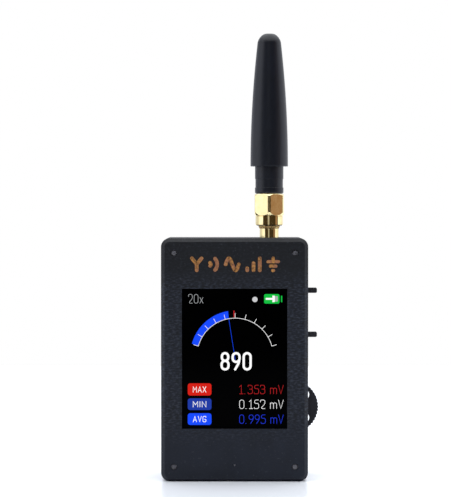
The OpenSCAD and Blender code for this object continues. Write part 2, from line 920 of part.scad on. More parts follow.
module power_switch_can() {
    switch_can(power_lever_z);
}

module power_switch_base() {
    switch_base(power_lever_z);
}

module power_switch_lever() {
    switch_lever(power_lever_z);
}

module gain_switch_can() {
    switch_can(gain_lever_z);
}

module gain_switch_base() {
    switch_base(gain_lever_z);
}

module gain_switch_lever() {
    switch_lever(gain_lever_z);
}

// Outline of the toothed rim
module knurl_outline() {
    flank = 0.25;
    land = 0.4;
    middle = flank + land / 2;
    steps = [[0, -tooth_depth], [flank, 0], [flank + land, 0], [2 * middle, -tooth_depth]];
    polygon([
        for (i = [0:wheel_teeth - 1], s = steps)
            let (a = 360 * (i + s[0] - middle) / wheel_teeth)
            (wheel_r + s[1]) * [cos(a), sin(a)]
    ]);
}

// Round holes midway between the hub and the rim, the first half a step round
module web_hole_pattern() {
    pitch_r = (hub_d / 2 + wheel_r - rim_w) / 2;
    step = 360 / web_holes;
    for (i = [0:web_holes - 1])
        rotate(step * (i + 0.5))
            translate([pitch_r, 0])
                circle(d = web_hole_d);
}

// The rotor's shaft has a flat, which turns the wheel
module shaft_outline(gap = 0) {
    intersection() {
        circle(d = shaft_d + 2 * gap);
        translate([-shaft_d, -shaft_d])
            square([shaft_d + shaft_flat + gap, 2 * shaft_d]);
    }
}

module thumbwheel() {
    web_r = wheel_r - rim_w;
    color(satin_black)
    translate([wheel_x, 0, wheel_z])
    difference() {
        slab(wheel_front, wheel_rear)
            difference() {
                knurl_outline();
                web_hole_pattern();
                shaft_outline(fit_gap);
            }
        slab(wheel_rear - web_recess, wheel_rear + through)
            difference() {
                circle(web_r);
                circle(d = hub_d);
            }
        bar(0, 0, shaft_top, wheel_rear + through, wheel_screw_head_d + 2 * run_gap);
    }
}

module pot_base() {
    color([0.35, 0.22, 0.12])
    difference() {
        slab(board_rear, board_rear + pot_h)
            intersection() {
                translate([wheel_x, wheel_z])
                    circle(pot_r);
                translate([wheel_x - pot_r, wheel_z - pot_r])
                    square([pot_r + side_in - run_gap - wheel_x, 2 * pot_r]);
            }
        bar(wheel_x, wheel_z, pocket_floor, board_rear + pot_h + through, rotor_d + 2 * run_gap);
    }
}

module pot_rotor() {
    color([0.85, 0.85, 0.82])
    difference() {
        translate([wheel_x, 0, wheel_z]) {
            bar(0, 0, pocket_floor + run_gap, board_rear + pot_h, rotor_d);
            slab(board_rear + pot_h, shaft_top)
                shaft_outline();
        }
        bar(wheel_x, wheel_z, shaft_top - wheel_screw_l - run_gap, shaft_top + through,
            wheel_screw_d + 2 * fit_gap);
    }
}

module thumbwheel_screw() {
    drive_l = wheel_screw_head_d + through;
    drive_w = 0.5;
    drive = [drive_l, wheel_screw_head_h, drive_w];
    color(steel)
    difference() {
        union() {
            bar(wheel_x, wheel_z, shaft_top, shaft_top + wheel_screw_head_h, wheel_screw_head_d);
            bar(wheel_x, wheel_z, shaft_top - wheel_screw_l, shaft_top, wheel_screw_d);
        }
        translate([wheel_x - drive_l / 2, shaft_top + wheel_screw_head_h / 2, wheel_z - drive_w / 2])
            cube(drive);
    }
}

// The four legs that hold the jack on the board
module jack_legs(front, d) {
    inset = block_w / 2 - leg_d;
    for (x = [-1, 1], z = [block_bottom + leg_d, block_top - leg_d])
        bar(antenna_x + x * inset, z, front, board_rear + leg_d / 2, d);
}

module sma_jack() {
    tail_space = 0.7;
    color(gold)
    difference() {
        union() {
            box([antenna_x - block_w / 2, board_rear, block_bottom],
                [antenna_x + block_w / 2, split_y + block_w / 2, block_top]);
            on_axis(block_top, thread_bottom, neck_d);
            on_axis(nut_bottom - collar_drop, thread_bottom, collar_d);
            on_axis(thread_bottom, jack_top, thread_d);
            jack_legs(board_front - leg_d / 2, leg_d);
        }
        on_axis(contact_bottom - contact_d, jack_top + through, insulator_d + 2 * fit_gap);
        on_axis(jack_cup, jack_top + through, ferrule_d + 2 * run_gap);
        bar(antenna_x, contact_bottom, board_rear - through, split_y, leg_d + 2 * tail_space);
    }
}

module sma_jack_insulator() {
    color(insulator_white)
    difference() {
        on_axis(contact_bottom - contact_d, jack_cup, insulator_d);
        on_axis(contact_bottom - contact_d / 2, jack_cup + through, contact_d + 2 * fit_gap);
        bar(antenna_x, contact_bottom, split_y - insulator_d, split_y, contact_d + 2 * fit_gap);
    }
}

module sma_jack_contact() {
    socket_l = 3;
    color(gold)
    difference() {
        union() {
            on_axis(contact_bottom - leg_d / 2, jack_cup, contact_d);
            bar(antenna_x, contact_bottom, board_front - leg_d / 2, split_y, leg_d);
        }
        on_axis(jack_cup - socket_l, jack_cup + through, pin_d + 2 * fit_gap);
    }
}

// Hexagon with both ends chamfered by a cone, which starts just inside the flats
module nut_hexagon() {
    corner_d = nut_flats / cos(30);
    flat_margin = 0.15;
    end_r = nut_flats / 2 - flat_margin;
    slope = nut_chamfer / (corner_d / 2 - end_r);
    reach = corner_d / 2 + through;
    rise = (reach - end_r) * slope;
    intersection() {
        translate([0, 0, hex_bottom])
            rotate(30)
                cylinder(d = corner_d, h = nut_hex_h, $fn = 6);
        rotate_extrude()
            polygon([
                [0, hex_bottom], [end_r, hex_bottom], [reach, hex_bottom + rise],
                [reach, nut_top - rise], [end_r, nut_top], [0, nut_top]
            ]);
    }
}

module coupling_nut() {
    color(gold)
    difference() {
        translate([antenna_x, split_y, 0]) {
            nut_hexagon();
            rotate_extrude()
                polygon([
                    [0, nut_bottom], [skirt_d / 2 - skirt_chamfer, nut_bottom],
                    [skirt_d / 2, nut_bottom + skirt_chamfer], [skirt_d / 2, hex_bottom + nut_chamfer],
                    [0, hex_bottom + nut_chamfer]
                ]);
        }
        on_axis(nut_bottom - through, thread_bottom, thread_d + 2 * run_gap);
        on_axis(thread_bottom - through, nut_shoulder, thread_d + 2 * fit_gap);
        on_axis(nut_shoulder - through, nut_top + through, shank_d + 2 * run_gap);
        on_axis(ring_z - groove_h / 2, ring_z + groove_h / 2, ring_outer_d + 2 * run_gap);
    }
}

module nut_retaining_ring() {
    reach = ring_outer_d;
    half = ring_gap_angle / 2;
    color(steel)
    translate([antenna_x, split_y, ring_z - ring_t / 2])
        linear_extrude(ring_t)
            difference() {
                circle(d = ring_outer_d);
                circle(d = ring_inner_d);
                polygon([[0, 0], reach * [cos(half), sin(half)], reach * [cos(half), -sin(half)]]);
            }
}

module plug_gasket() {
    color([0.7, 0.25, 0.2])
    difference() {
        on_axis(jack_top, flange_bottom, flange_d);
        on_axis(jack_top - through, flange_bottom + through, ferrule_d + 2 * fit_gap);
    }
}

module plug_body() {
    color(gold)
    difference() {
        union() {
            on_axis(jack_top - ferrule_l, flange_bottom, ferrule_d);
            on_axis(flange_bottom, flange_top, flange_d);
            on_axis(flange_top, shank_top, shank_d);
        }
        difference() {
            on_axis(ring_z - groove_h / 2, ring_z + groove_h / 2, shank_d + through);
            on_axis(ring_z - groove_h, ring_z + groove_h, shank_d - 2 * groove_depth);
        }
        on_axis(jack_top - ferrule_l - through, shank_top + through, plug_bore_d() + 2 * fit_gap);
    }
}

// Bore of the plug: as wide as the ring groove leaves room for
function plug_bore_d() = shank_d - 2 * groove_depth - 1;

module plug_insulator() {
    color(insulator_white)
    difference() {
        on_axis(jack_top - ferrule_l + ring_t, shank_top, plug_bore_d());
        on_axis(jack_top - ferrule_l, shank_top + through, pin_d + 2 * fit_gap);
    }
}

module plug_pin() {
    point = 0.3;
    color(gold) {
        on_axis(pin_bottom + point, pin_top, pin_d);
        translate([antenna_x, split_y, pin_bottom])
            cylinder(d1 = pin_d - 2 * point, d2 = pin_d, h = point);
    }
}

// Foot of the antenna: a flange rounded below, two slightly different diameters and a stem inside the sleeve
module antenna_base() {
    flange_r = foot_flange_d / 2;
    foot_flange_top = foot_bottom + foot_flange_h;
    step_z = sleeve_bottom - foot_top_h;
    color(satin_black)
    difference() {
        translate([antenna_x, split_y, 0])
            rotate_extrude() {
                translate([0, foot_bottom])
                    square([flange_r - foot_round, foot_flange_h]);
                translate([flange_r - foot_round, foot_bottom + foot_round])
                    circle(foot_round);
                translate([0, foot_bottom + foot_round])
                    square([flange_r, foot_flange_h - foot_round]);
                translate([0, foot_flange_top])
                    square([foot_d / 2, step_z - foot_flange_top]);
                translate([0, step_z])
                    square([foot_top_d / 2, foot_shoulder - step_z]);
                translate([0, foot_shoulder])
                    square([stem_d / 2, stem_l]);
            }
        on_axis(foot_bottom - through, shank_top, shank_d + 2 * fit_gap);
        on_axis(foot_bottom, stem_top + through, max(pin_d, wire_d) + 2 * run_gap);
    }
}

// Radius of the sleeve, which falls from the skirt to the shoulder with the square of the height
function sleeve_r(t) = (sleeve_d - (sleeve_d - shoulder_d) * t * t) / 2;

// Outline of the sleeve from its skirt to its rounded top
function sleeve_outline() =
    let (body_steps = 12, crown_steps = 8, crown_power = 1.25, crown_w = (shoulder_d - crown_d) / 2)
    concat(
        [for (i = [0:body_steps])
            [sleeve_r(i / body_steps), sleeve_bottom + (crown_bottom - sleeve_bottom) * i / body_steps]],
        [for (i = [1:crown_steps])
            let (a = 90 * i / crown_steps)
            [
                crown_d / 2 + crown_w * pow(cos(a), crown_power),
                crown_bottom + crown_h * pow(sin(a), crown_power)
            ]]
    );

module antenna_sleeve() {
    coil_space_d = coil_d + wire_d + 2 * slot_gap;
    top_wall = coil_headroom - slot_gap - wire_d;
    skirt_edge = 0.3;
    color(satin_black)
    difference() {
        translate([antenna_x, split_y, 0])
            rotate_extrude()
                polygon(concat(
                    [[0, sleeve_bottom], [sleeve_d / 2 - skirt_edge, sleeve_bottom]],
                    [for (p = sleeve_outline()) p.y == sleeve_bottom ? p + [0, skirt_edge] : p],
                    [[0, sleeve_top]]
                ));
        on_axis(sleeve_bottom - through, foot_shoulder, foot_top_d + 2 * fit_gap);
        on_axis(foot_shoulder - through, stem_top + fit_gap, stem_d + 2 * fit_gap);
        on_axis(stem_top - through, sleeve_top - top_wall, coil_space_d);
    }
}

// Middle of the coil's wire after a number of turns: it opens out from the axis, then climbs
function coil_point(turn) =
    let (r = coil_d / 2 * min(1, turn / lead_in_turns), a = 360 * turn)
    [r * cos(a), r * sin(a), coil_bottom + coil_pitch * turn];

function coil_path() = concat(
    coil_lead,
    [for (i = [1:coil_turns * coil_rings]) coil_point(i / coil_rings)]
);

function unit(v) = v / norm(v);

function ring_points(path, i, sides) =
    let (
        before = path[max(i - 1, 0)],
        after = path[min(i + 1, len(path) - 1)],
        along = unit(after - before),
        upright = 0.95,
        guess = abs(along.z) > upright ? [1, 0, 0] : [0, 0, 1],
        across = unit(cross(along, guess)),
        up = cross(across, along)
    )
    [
        for (k = [0:sides - 1])
            let (a = 360 * k / sides)
            path[i] + wire_d / 2 * (across * cos(a) + up * sin(a))
    ];

module antenna_coil() {
    path = coil_path();
    sides = 6;
    rings = len(path);
    points = [for (i = [0:rings - 1]) each ring_points(path, i, sides)];
    walls = [
        for (i = [0:rings - 2], k = [0:sides - 1])
            let (a = i * sides + k, b = i * sides + (k + 1) % sides)
            each [[a, a + sides, b], [b, a + sides, b + sides]]
    ];
    ends = concat(
        [for (k = [1:sides - 2]) [0, k, k + 1]],
        [for (k = [1:sides - 2]) let (e = (rings - 1) * sides) [e, e + k + 1, e + k]]
    );
    gaps = [for (i = [2:rings - 1], j = [i + coil_rings - 2:1:rings - 1]) norm(path[i] - path[j]) - wire_d];
    echo(least_coil_gap = min(gaps));
    color([0.72, 0.40, 0.22])
    translate([antenna_x, split_y, 0])
        polyhedron(points, concat(walls, ends), convexity = 10);
}

front_shell();
rear_shell();
case_screws();
lcd_glass();
lcd_backlight();
lcd_foam_pad();
lcd_flex();
flex_connector();
main_board();
board_chips();
processor_board();
processor_can();
rf_shield_can();
status_led();
usb_shell();
usb_tongue();
battery_cell();
battery_tape();
battery_socket();
battery_plug();
battery_lead_red();
battery_lead_black();
power_switch_can();
power_switch_base();
power_switch_lever();
gain_switch_can();
gain_switch_base();
gain_switch_lever();
thumbwheel();
thumbwheel_screw();
pot_base();
pot_rotor();
sma_jack();
sma_jack_insulator();
sma_jack_contact();
coupling_nut();
nut_retaining_ring();
plug_gasket();
plug_body();
plug_insulator();
plug_pin();
antenna_base();
antenna_sleeve();
antenna_coil();
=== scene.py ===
import json
import math

import bmesh
import bpy
from mathutils import Matrix, Vector


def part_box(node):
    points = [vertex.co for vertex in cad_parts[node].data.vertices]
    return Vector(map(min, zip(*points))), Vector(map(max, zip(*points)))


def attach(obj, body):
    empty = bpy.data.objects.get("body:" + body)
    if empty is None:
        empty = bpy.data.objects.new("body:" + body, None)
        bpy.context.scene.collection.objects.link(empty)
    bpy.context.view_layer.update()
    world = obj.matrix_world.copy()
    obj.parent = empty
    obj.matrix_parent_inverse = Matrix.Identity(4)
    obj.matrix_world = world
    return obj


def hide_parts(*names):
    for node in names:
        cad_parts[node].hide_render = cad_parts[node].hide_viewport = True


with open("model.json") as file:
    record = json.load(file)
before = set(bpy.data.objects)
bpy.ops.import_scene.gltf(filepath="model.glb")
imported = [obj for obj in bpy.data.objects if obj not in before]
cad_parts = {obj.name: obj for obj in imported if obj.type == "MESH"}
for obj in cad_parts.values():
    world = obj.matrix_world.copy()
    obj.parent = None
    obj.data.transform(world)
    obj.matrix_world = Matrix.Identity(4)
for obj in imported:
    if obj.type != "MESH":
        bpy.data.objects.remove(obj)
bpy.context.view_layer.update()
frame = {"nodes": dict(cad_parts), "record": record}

cad_nodes = frame["nodes"]
scene = bpy.context.scene
MM = 0.001

X, Y, Z = range(3)


def span(node, axis):
    """Where a solid begins and ends along an axis, in millimetres."""
    low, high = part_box(node)
    return low[axis] / MM, high[axis] / MM


# Places taken from the solids, in millimetres
ANTENNA_X = sum(span("antenna_sleeve", X)) / 2
GLASS_Y = span("lcd_glass", Y)[0]
FACE_Y, SEAM_Y = span("front_shell", Y)
NUT_BOTTOM, NUT_TOP = span("coupling_nut", Z)
ON_ANTENNA = Matrix.Translation((ANTENNA_X * MM, 0, 0))

# Sizes of what the scene adds to them, in millimetres
NUT_HEX_H = 5.85
THREAD_L = 3.5
THREAD_Z = span("sma_jack", Z)[1] - THREAD_L
WINDOW = (-14.3, 14.4, 14.3, 52.5)  # left, bottom, right and top

# The Mix node's sockets for two colours, and its output for their mix
COLOUR_A, COLOUR_B, COLOUR_OUT = 6, 7, 2


def tone(red, green, blue):
    """A screen colour, each part 0 to 255, as the linear colour that a shader takes."""

    def linear(part):
        part /= 255
        return part / 12.92 if part <= 0.04045 else ((part + 0.055) / 1.055) ** 2.4

    return (linear(red), linear(green), linear(blue), 1.0)


def feed(tree, node, inputs):
    """Links or sets a node's inputs."""
    for key, value in inputs.items():
        if isinstance(value, bpy.types.NodeSocket):
            tree.links.new(value, node.inputs[key])
        else:
            node.inputs[key].default_value = value


def add_node(tree, kind, inputs, settings):
    """Adds a node to a tree, with its settings and its inputs."""
    node = tree.nodes.new(kind)
    for key, value in settings.items():
        setattr(node, key, value)
    feed(tree, node, inputs or {})
    return node


class Shading:
    """A shader's node tree, and short calls for its nodes."""

    def __init__(self, tree):
        self.tree = tree

    def add(self, kind, inputs=None, **settings):
        return add_node(self.tree, "ShaderNode" + kind, inputs, settings)

    def math(self, operation, *values):
        return self.add("Math", dict(enumerate(values)), operation=operation).outputs[0]

    def spread(self, factor, low, high, start=0.3, end=0.7, **settings):
        """The factor, from start to end, as a number from low to high."""
        inputs = {"Value": factor, "From Min": start, "From Max": end, "To Min": low, "To Max": high}
        return self.add("MapRange", inputs, **settings).outputs["Result"]

    def ramp(self, factor, *stops):
        """Colours along the factor, each stop a place and a colour."""
        node = self.add("ValToRGB", {"Fac": factor})
        points = node.color_ramp.elements
        while len(points) < len(stops):
            points.new(0.5)
        for point, (place, colour) in zip(points, stops):
            point.position = place
            point.color = colour
        return node.outputs["Color"]

    def blend(self, factor, first, second):
        """Two colours mixed by the factor."""
        node = self.add("Mix", {0: factor, COLOUR_A: first, COLOUR_B: second}, data_type="RGBA")
        return node.outputs[COLOUR_OUT]


class Finish(Shading):
    """A material with one shader, and short calls for what feeds it."""

    def __init__(self, name, **sockets):
        self.material = bpy.data.materials.new(name)
        self.material.use_nodes = True
        super().__init__(self.material.node_tree)
        self.shader = self.tree.nodes["Principled BSDF"]
        self.place = self.add("TexCoord").outputs["Object"]
        self.set(**sockets)

    def set(self, **sockets):
        """Sets or links the shader's sockets, named in lower case with underscores."""
        names = {s.name.lower().replace(" ", "_"): s.name for s in self.shader.inputs}
        feed(self.tree, self.shader, {names[key]: value for key, value in sockets.items()})

    def noise(self, size, detail=2.0, stretch=(1.0, 1.0, 1.0)):
        """Cloudy noise with blobs about this many millimetres across."""
        place = self.add("Mapping", {"Vector": self.place, "Scale": stretch}).outputs[0]
        inputs = {"Vector": place, "Scale": 1 / (size * MM), "Detail": detail}
        return self.add("TexNoise", inputs).outputs["Fac"]

    def lines(self, spacing, direction):
        """Fine parallel lines across an axis, this many millimetres apart."""
        bands_per_unit = 0.31416
        inputs = {"Vector": self.place, "Scale": bands_per_unit / (spacing * MM), "Detail": 0.0}
        return self.add("TexWave", inputs, bands_direction=direction).outputs["Fac"]

    def height(self):
        """The height above the base, in metres."""
        return self.add("SeparateXYZ", {0: self.place}).outputs["Z"]

    def sum(self, first, second, share):
        """The first height plus a share of the second."""
        return self.math("MULTIPLY_ADD", second, share, first)

    def bump(self, height, depth):
        """Raises the surface by up to this many millimetres."""
        node = self.add("Bump", {"Height": height, "Distance": depth * MM, "Strength": 1.0})
        self.set(normal=node.outputs["Normal"])


def moulded(name, dark, light, grain=0.3, depth=0.01, rough=(0.45, 0.6), mottle=4.0, **sockets):
    """Moulded or printed stuff: a mottled colour, uneven gloss and a fine grain."""
    grain_share = 0.35
    finish = Finish(name, **sockets)
    cloud = finish.noise(mottle, 4.0)
    fine = finish.noise(grain, 3.0)
    mixed = finish.sum(cloud, fine, grain_share)
    finish.set(base_color=finish.ramp(mixed, (0.45, dark), (0.9, light)),
               roughness=finish.spread(fine, rough[1], rough[0]))
    finish.bump(fine, depth)
    return finish.material


def metal(name, dark, light, spacing=0.0, direction="Z", rough=(0.1, 0.2), depth=0.002, milled=None):
    """Bare or plated metal: cloudy tarnish, and the fine lines of turning or rolling where it has
    them. Above the height of a milled part it is duller."""
    tarnish_size, pit_size, line_share = 1.6, 0.2, 0.8
    milled_dullness, milled_edge = 0.08, 0.1
    finish = Finish(name, metallic=1.0)
    cloud = finish.noise(tarnish_size, 4.0)
    relief = finish.noise(pit_size, 3.0)
    if spacing:
        relief = finish.sum(relief, finish.lines(spacing, direction), line_share)
    dullness = finish.spread(cloud, rough[0], rough[1])
    if milled:
        above = finish.spread(finish.height(), 0.0, 1.0, milled * MM, (milled + milled_edge) * MM)
        dullness = finish.sum(dullness, above, milled_dullness)
    finish.set(base_color=finish.ramp(cloud, (0.3, dark), (0.7, light)), roughness=dullness)
    finish.bump(relief, depth)
    return finish.material


def case_print():
    """The case's matt print: blue-black, with painted shade that darkens the face above the window,
    short layer streaks that fade towards the base and the top, and a few paler specks."""
    sand_size, cloud_size, streak_size, speck_size = 0.35, 7.0, 0.42, 0.6
    streak_stretch = (0.42, 0.42, 1.0)
    streaks_top, shade_from, shade_full = 66, 50, 58
    faint, half, full = tone(60, 60, 60), tone(125, 125, 125), tone(255, 255, 255)
    finish = Finish("case_print", specular_ior_level=0.3)
    sand = finish.noise(sand_size, 2.0)
    cloud = finish.noise(cloud_size, 3.0)
    streak = finish.noise(streak_size, 4.0, streak_stretch)
    speck = finish.noise(speck_size, 1.0)
    height = finish.height()
    layered = finish.ramp(finish.spread(height, 0.0, 1.0, 0.0, streaks_top * MM),
                          (0.14, faint), (0.27, full), (0.8, full), (0.87, half))
    mottled = finish.ramp(finish.sum(cloud, sand, 0.4), (0.5, tone(8, 15, 28)), (0.9, tone(16, 23, 37)))
    # Painted shade: the face blends to near-black above the window, as if in shadow.
    painted_top_shade = finish.spread(height, 0.0, 0.95, shade_from * MM, shade_full * MM)
    base = finish.blend(painted_top_shade, mottled, tone(2, 5, 12))
    dark = finish.blend(finish.spread(streak, 0.95, 0.0, 0.37, 0.5), base, tone(1, 2, 5))
    pale = finish.blend(finish.spread(streak, 0.0, 0.95, 0.5, 0.65), dark, tone(40, 45, 56))
    printed = finish.blend(layered, base, pale)
    specks = finish.spread(speck, 0.0, 0.3, 0.68, 0.76)
    finish.set(base_color=finish.blend(specks, printed, tone(58, 61, 69)),
               roughness=finish.spread(sand, 0.52, 0.64))
    finish.bump(finish.sum(sand, streak, 0.8), 0.012)
    return finish.material


def bronze_paint():
    """Mottled orange and brown metal paint, rubbed thin in places."""
    cloud_size, fleck_size, patch_size = 0.55, 0.16, 1.5
    finish = Finish("bronze_paint", metallic=0.35)
    cloud = finish.noise(cloud_size, 4.0)
    fleck = finish.noise(fleck_size, 2.0)
    patch = finish.noise(patch_size, 2.0)
    base = finish.ramp(cloud, (0.32, tone(90, 60, 36)), (0.5, tone(158, 108, 54)),
                       (0.68, tone(196, 138, 70)))
    rosy = finish.blend(finish.spread(patch, 0.0, 0.7, 0.48, 0.64), base, tone(158, 104, 80))
    worn = finish.blend(finish.spread(fleck, 0.0, 0.7, 0.55, 0.75), rosy, tone(112, 98, 76))
    finish.set(base_color=worn, roughness=finish.spread(fleck, 0.4, 0.6))
    finish.bump(finish.sum(cloud, fleck, 0.5), 0.03)
    return finish.material


def lit_pixels(name, colour, strength=1.0):
    """A lit area of the display: its colour on a fine grid of pixels."""
    pixel, dimmed = 0.12, 0.82
    finish = Finish(name, base_color=(0.0, 0.0, 0.0, 1.0), roughness=0.5, specular_ior_level=0.1,
                    emission_strength=strength)
    grid = finish.sum(finish.lines(pixel, "X"), finish.lines(pixel, "Z"), 1.0)
    dim = tuple(dimmed * part for part in colour[:3]) + (1.0,)
    finish.set(emission_color=finish.ramp(grid, (0.0, dim), (0.6, colour)))
    return finish.material


def black_glass():
    """The display's dark glass, with a trace of dust."""
    finish = Finish("black_glass", ior=1.5, specular_ior_level=0.012)
    dust = finish.noise(0.5, 3.0)
    finish.set(base_color=finish.ramp(dust, (0.3, tone(0, 0, 0)), (0.8, tone(1, 1, 2))),
               roughness=finish.spread(dust, 0.08, 0.14))
    return finish.material


def solder_mask(name, dark, light):
    """A circuit board: solder mask over crossing copper tracks."""
    across, up, cloud_size = 1.3, 1.1, 1.5
    finish = Finish(name)
    tracks = finish.sum(finish.lines(across, "X"), finish.lines(up, "Z"), 1.0)
    cloud = finish.noise(cloud_size, 3.0)
    worn = finish.spread(finish.sum(tracks, cloud, 0.6), 0.0, 1.0, 1.0, 1.25)
    finish.set(base_color=finish.blend(worn, dark, light), roughness=finish.spread(cloud, 0.3, 0.45))
    finish.bump(tracks, 0.02)
    return finish.material


GOLD = (tone(228, 210, 155), tone(244, 229, 175))
GOLD_TURNING = {"spacing": 0.11, "rough": (0.06, 0.1), "depth": 0.0004}

FINISHES = {
    "case_plastic": case_print(),
    "screw_steel": metal("zinc_steel", tone(84, 84, 90), tone(122, 122, 128), rough=(0.5, 0.62)),
    "display_glass": black_glass(),
    "white_plastic": moulded("white_moulding", tone(216, 216, 210), tone(236, 236, 230)),
    "foam": moulded("black_foam", tone(30, 30, 31), tone(52, 52, 53), 0.5, 0.08, (0.85, 0.95)),
    "flex_film": moulded("amber_film", tone(150, 86, 20), tone(196, 122, 38), 0.6, 0.004, (0.2, 0.3)),
    "board_laminate": solder_mask("green_mask", tone(10, 74, 38), tone(36, 118, 62)),
    "module_laminate": solder_mask("black_mask", tone(20, 23, 28), tone(48, 52, 58)),
    "chip_resin": moulded("chip_resin", tone(26, 26, 27), tone(42, 42, 43), 0.15, 0.006, (0.5, 0.65)),
    "can_metal": metal("tinned_sheet", tone(176, 178, 180), tone(208, 210, 212), 0.2, "X",
                       rough=(0.25, 0.4)),
    "light_resin": moulded("clear_resin", tone(226, 220, 180), tone(242, 238, 206), rough=(0.15, 0.25)),
    "battery_foil": metal("pouch_foil", tone(190, 192, 196), tone(222, 223, 226), rough=(0.3, 0.45),
                          depth=0.03),
    "red_lead": moulded("red_insulation", tone(158, 16, 16), tone(190, 30, 26), 0.2, 0.004),
    "black_lead": moulded("black_insulation", tone(18, 18, 19), tone(34, 34, 35), 0.2, 0.004),
    "black_plastic": moulded("black_moulding", tone(8, 8, 14), tone(18, 18, 26), 0.2, 0.006, (0.45, 0.6),
                             specular_ior_level=0.4),
    "wheel_plastic": moulded("wheel_moulding", tone(7, 7, 17), tone(16, 15, 28), 0.2, 0.008, (0.4, 0.55),
                             specular_ior_level=0.36),
    "pot_laminate": moulded("paper_laminate", tone(104, 62, 30), tone(136, 86, 46), 0.3, 0.01),
    "gold_plate": metal("gold_plate", *GOLD, **GOLD_TURNING),
    "insulator": moulded("white_dielectric", tone(226, 226, 220), tone(242, 242, 238), rough=(0.3, 0.4)),
    "gasket_rubber": moulded("red_silicone", tone(150, 60, 48), tone(178, 80, 64), rough=(0.55, 0.7)),
    "antenna_rubber": moulded("satin_rubber", tone(2, 7, 18), tone(6, 12, 25), 0.35, 0.006, (0.36, 0.43),
                              9.0, specular_ior_level=0.36),
    "copper_wire": metal("copper_wire", tone(186, 110, 74), tone(220, 142, 100), rough=(0.2, 0.3)),
}

for part in frame["record"]["subparts"]:
    node = cad_nodes[part["node"]]
    node.data.materials.clear()
    node.data.materials.append(FINISHES[part["material_slot"]])


def piece(name, mesh, slot, body, replaced=(), material=None):
    """Adds a finished mesh to the scene, riding on a body."""
    obj = bpy.data.objects.new(name, mesh)
    mesh.name = name
    scene.collection.objects.link(obj)
    mesh.materials.clear()
    mesh.materials.append(material or FINISHES[slot])
    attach(obj, body)
    if replaced:
        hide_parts(*replaced)
    return obj


def settled(obj):
    """The object's mesh with its modifiers applied; the object itself is removed."""
    graph = bpy.context.evaluated_depsgraph_get()
    mesh = bpy.data.meshes.new_from_object(obj.evaluated_get(graph), depsgraph=graph)
    old = obj.data
    bpy.data.objects.remove(obj)
    bpy.data.meshes.remove(old)
    return mesh


def smoothed(mesh, angle=32):
    """Smooth shading, broken at edges sharper than the angle."""
    for face in mesh.polygons:
        face.use_smooth = True
    mesh.set_sharp_from_angle(angle=math.radians(angle))
    return mesh


def mesh_of(bm, name):
    mesh = bpy.data.meshes.new(name)
    bm.to_mesh(mesh)
    bm.free()
    return mesh


def rounded(node, width, cut_above=None, seam=None, weld=0.0):
    """A merged copy of a CAD node with its sharp edges rounded. It may be cut off flat at a height, and
    its edges on a seam, a plane across Y, get a wider rounding that leaves a groove. Points closer than
    the weld become one."""
    segments, sharp_deg, flat_deg, off_seam_share = 2, 30, 0.6, 0.55
    same_point, on_plane = 1e-6, 1e-5
    bm = bmesh.new()
    bm.from_mesh(cad_nodes[node].data)
    bmesh.ops.remove_doubles(bm, verts=bm.verts, dist=same_point)
    if cut_above is not None:
        whole = bm.verts[:] + bm.edges[:] + bm.faces[:]
        cut = bmesh.ops.bisect_plane(bm, geom=whole, plane_co=(0, 0, cut_above * MM), plane_no=(0, 0, 1),
                                     clear_outer=True)
        rim = [e for e in cut["geom_cut"] if isinstance(e, bmesh.types.BMEdge)]
        bmesh.ops.triangle_fill(bm, edges=rim, use_beauty=True)
        bmesh.ops.recalc_face_normals(bm, faces=bm.faces)
    bmesh.ops.dissolve_limit(bm, angle_limit=math.radians(flat_deg), verts=bm.verts, edges=bm.edges)
    share = bm.edges.layers.float.new("bevel_weight_edge")
    for edge in bm.edges:
        on_seam = seam is not None and all(abs(v.co.y - seam * MM) < on_plane for v in edge.verts)
        if edge.calc_face_angle(0.0) > math.radians(sharp_deg):
            edge[share] = 1.0 if on_seam or seam is None else off_seam_share
    obj = bpy.data.objects.new(node + "_blank", mesh_of(bm, node + "_blank"))
    scene.collection.objects.link(obj)
    smoothed(obj.data, sharp_deg)
    bevel = obj.modifiers.new("rounding", "BEVEL")
    bevel.width = width * MM
    bevel.segments = segments
    bevel.limit_method = "WEIGHT"
    if weld:
        obj.modifiers.new("weld", "WELD").merge_threshold = weld * MM
    obj.modifiers.new("flats", "WEIGHTED_NORMAL")
    return settled(obj)


def hexagon(across, sharpness):
    """The radius at an angle of a hexagon this far across its flats. Its corners are rounder as the
    sharpness falls."""

    def radius(angle):
        flats = [max(0.0, math.cos(angle - math.radians(60 * i))) for i in range(6)]
        return across / 2 * sum(flat ** sharpness for flat in flats) ** (-1 / sharpness)

    return radius


def lathe(profile, steps, turn=Matrix()):
    """A solid about Z from (radius, height) in millimetres, where each may be a function of the angle.
    The turn then places it."""
    bm = bmesh.new()
    rings = []
    for radius, height in profile:
        if radius == 0:
            rings.append([bm.verts.new(turn @ Vector((0, 0, height * MM)))])
            continue
        ring = []
        for i in range(steps):
            angle = math.tau * i / steps
            reach = radius(angle) if callable(radius) else radius
            level = height(angle) if callable(height) else height
            spot = Vector((reach * math.cos(angle), reach * math.sin(angle), level)) * MM
            ring.append(bm.verts.new(turn @ spot))
        rings.append(ring)
    for low, high in zip(rings, rings[1:]):
        for i in range(steps):
            j = i + 1
            corners = [low[i % len(low)], low[j % len(low)], high[j % len(high)], high[i % len(high)]]
            bm.faces.new(list(dict.fromkeys(corners)))
    first, last = rings[0], rings[-1]
    if len(first) > 1:
        for i in range(steps):
            j = (i + 1) % steps
            bm.faces.new([last[i], last[j], first[j], first[i]])
    bmesh.ops.recalc_face_normals(bm, faces=bm.faces)
    return bm


def ring_arc(x, z, radius, start, end, steps):
    """Points on an arc, its angles in degrees."""
    angles = [math.radians(start + (end - start) * i / steps) for i in range(steps + 1)]
    return [(x + radius * math.cos(a), z + radius * math.sin(a)) for a in angles]


# Case

SHELL_ROUNDING, LEVER_ROUNDING, WHEEL_ROUNDING = 0.3, 0.12, 0.06
WELD = 0.002
SHADE_LINING_WALL, SHADE_LINING_INSET = 0.05, 0.1


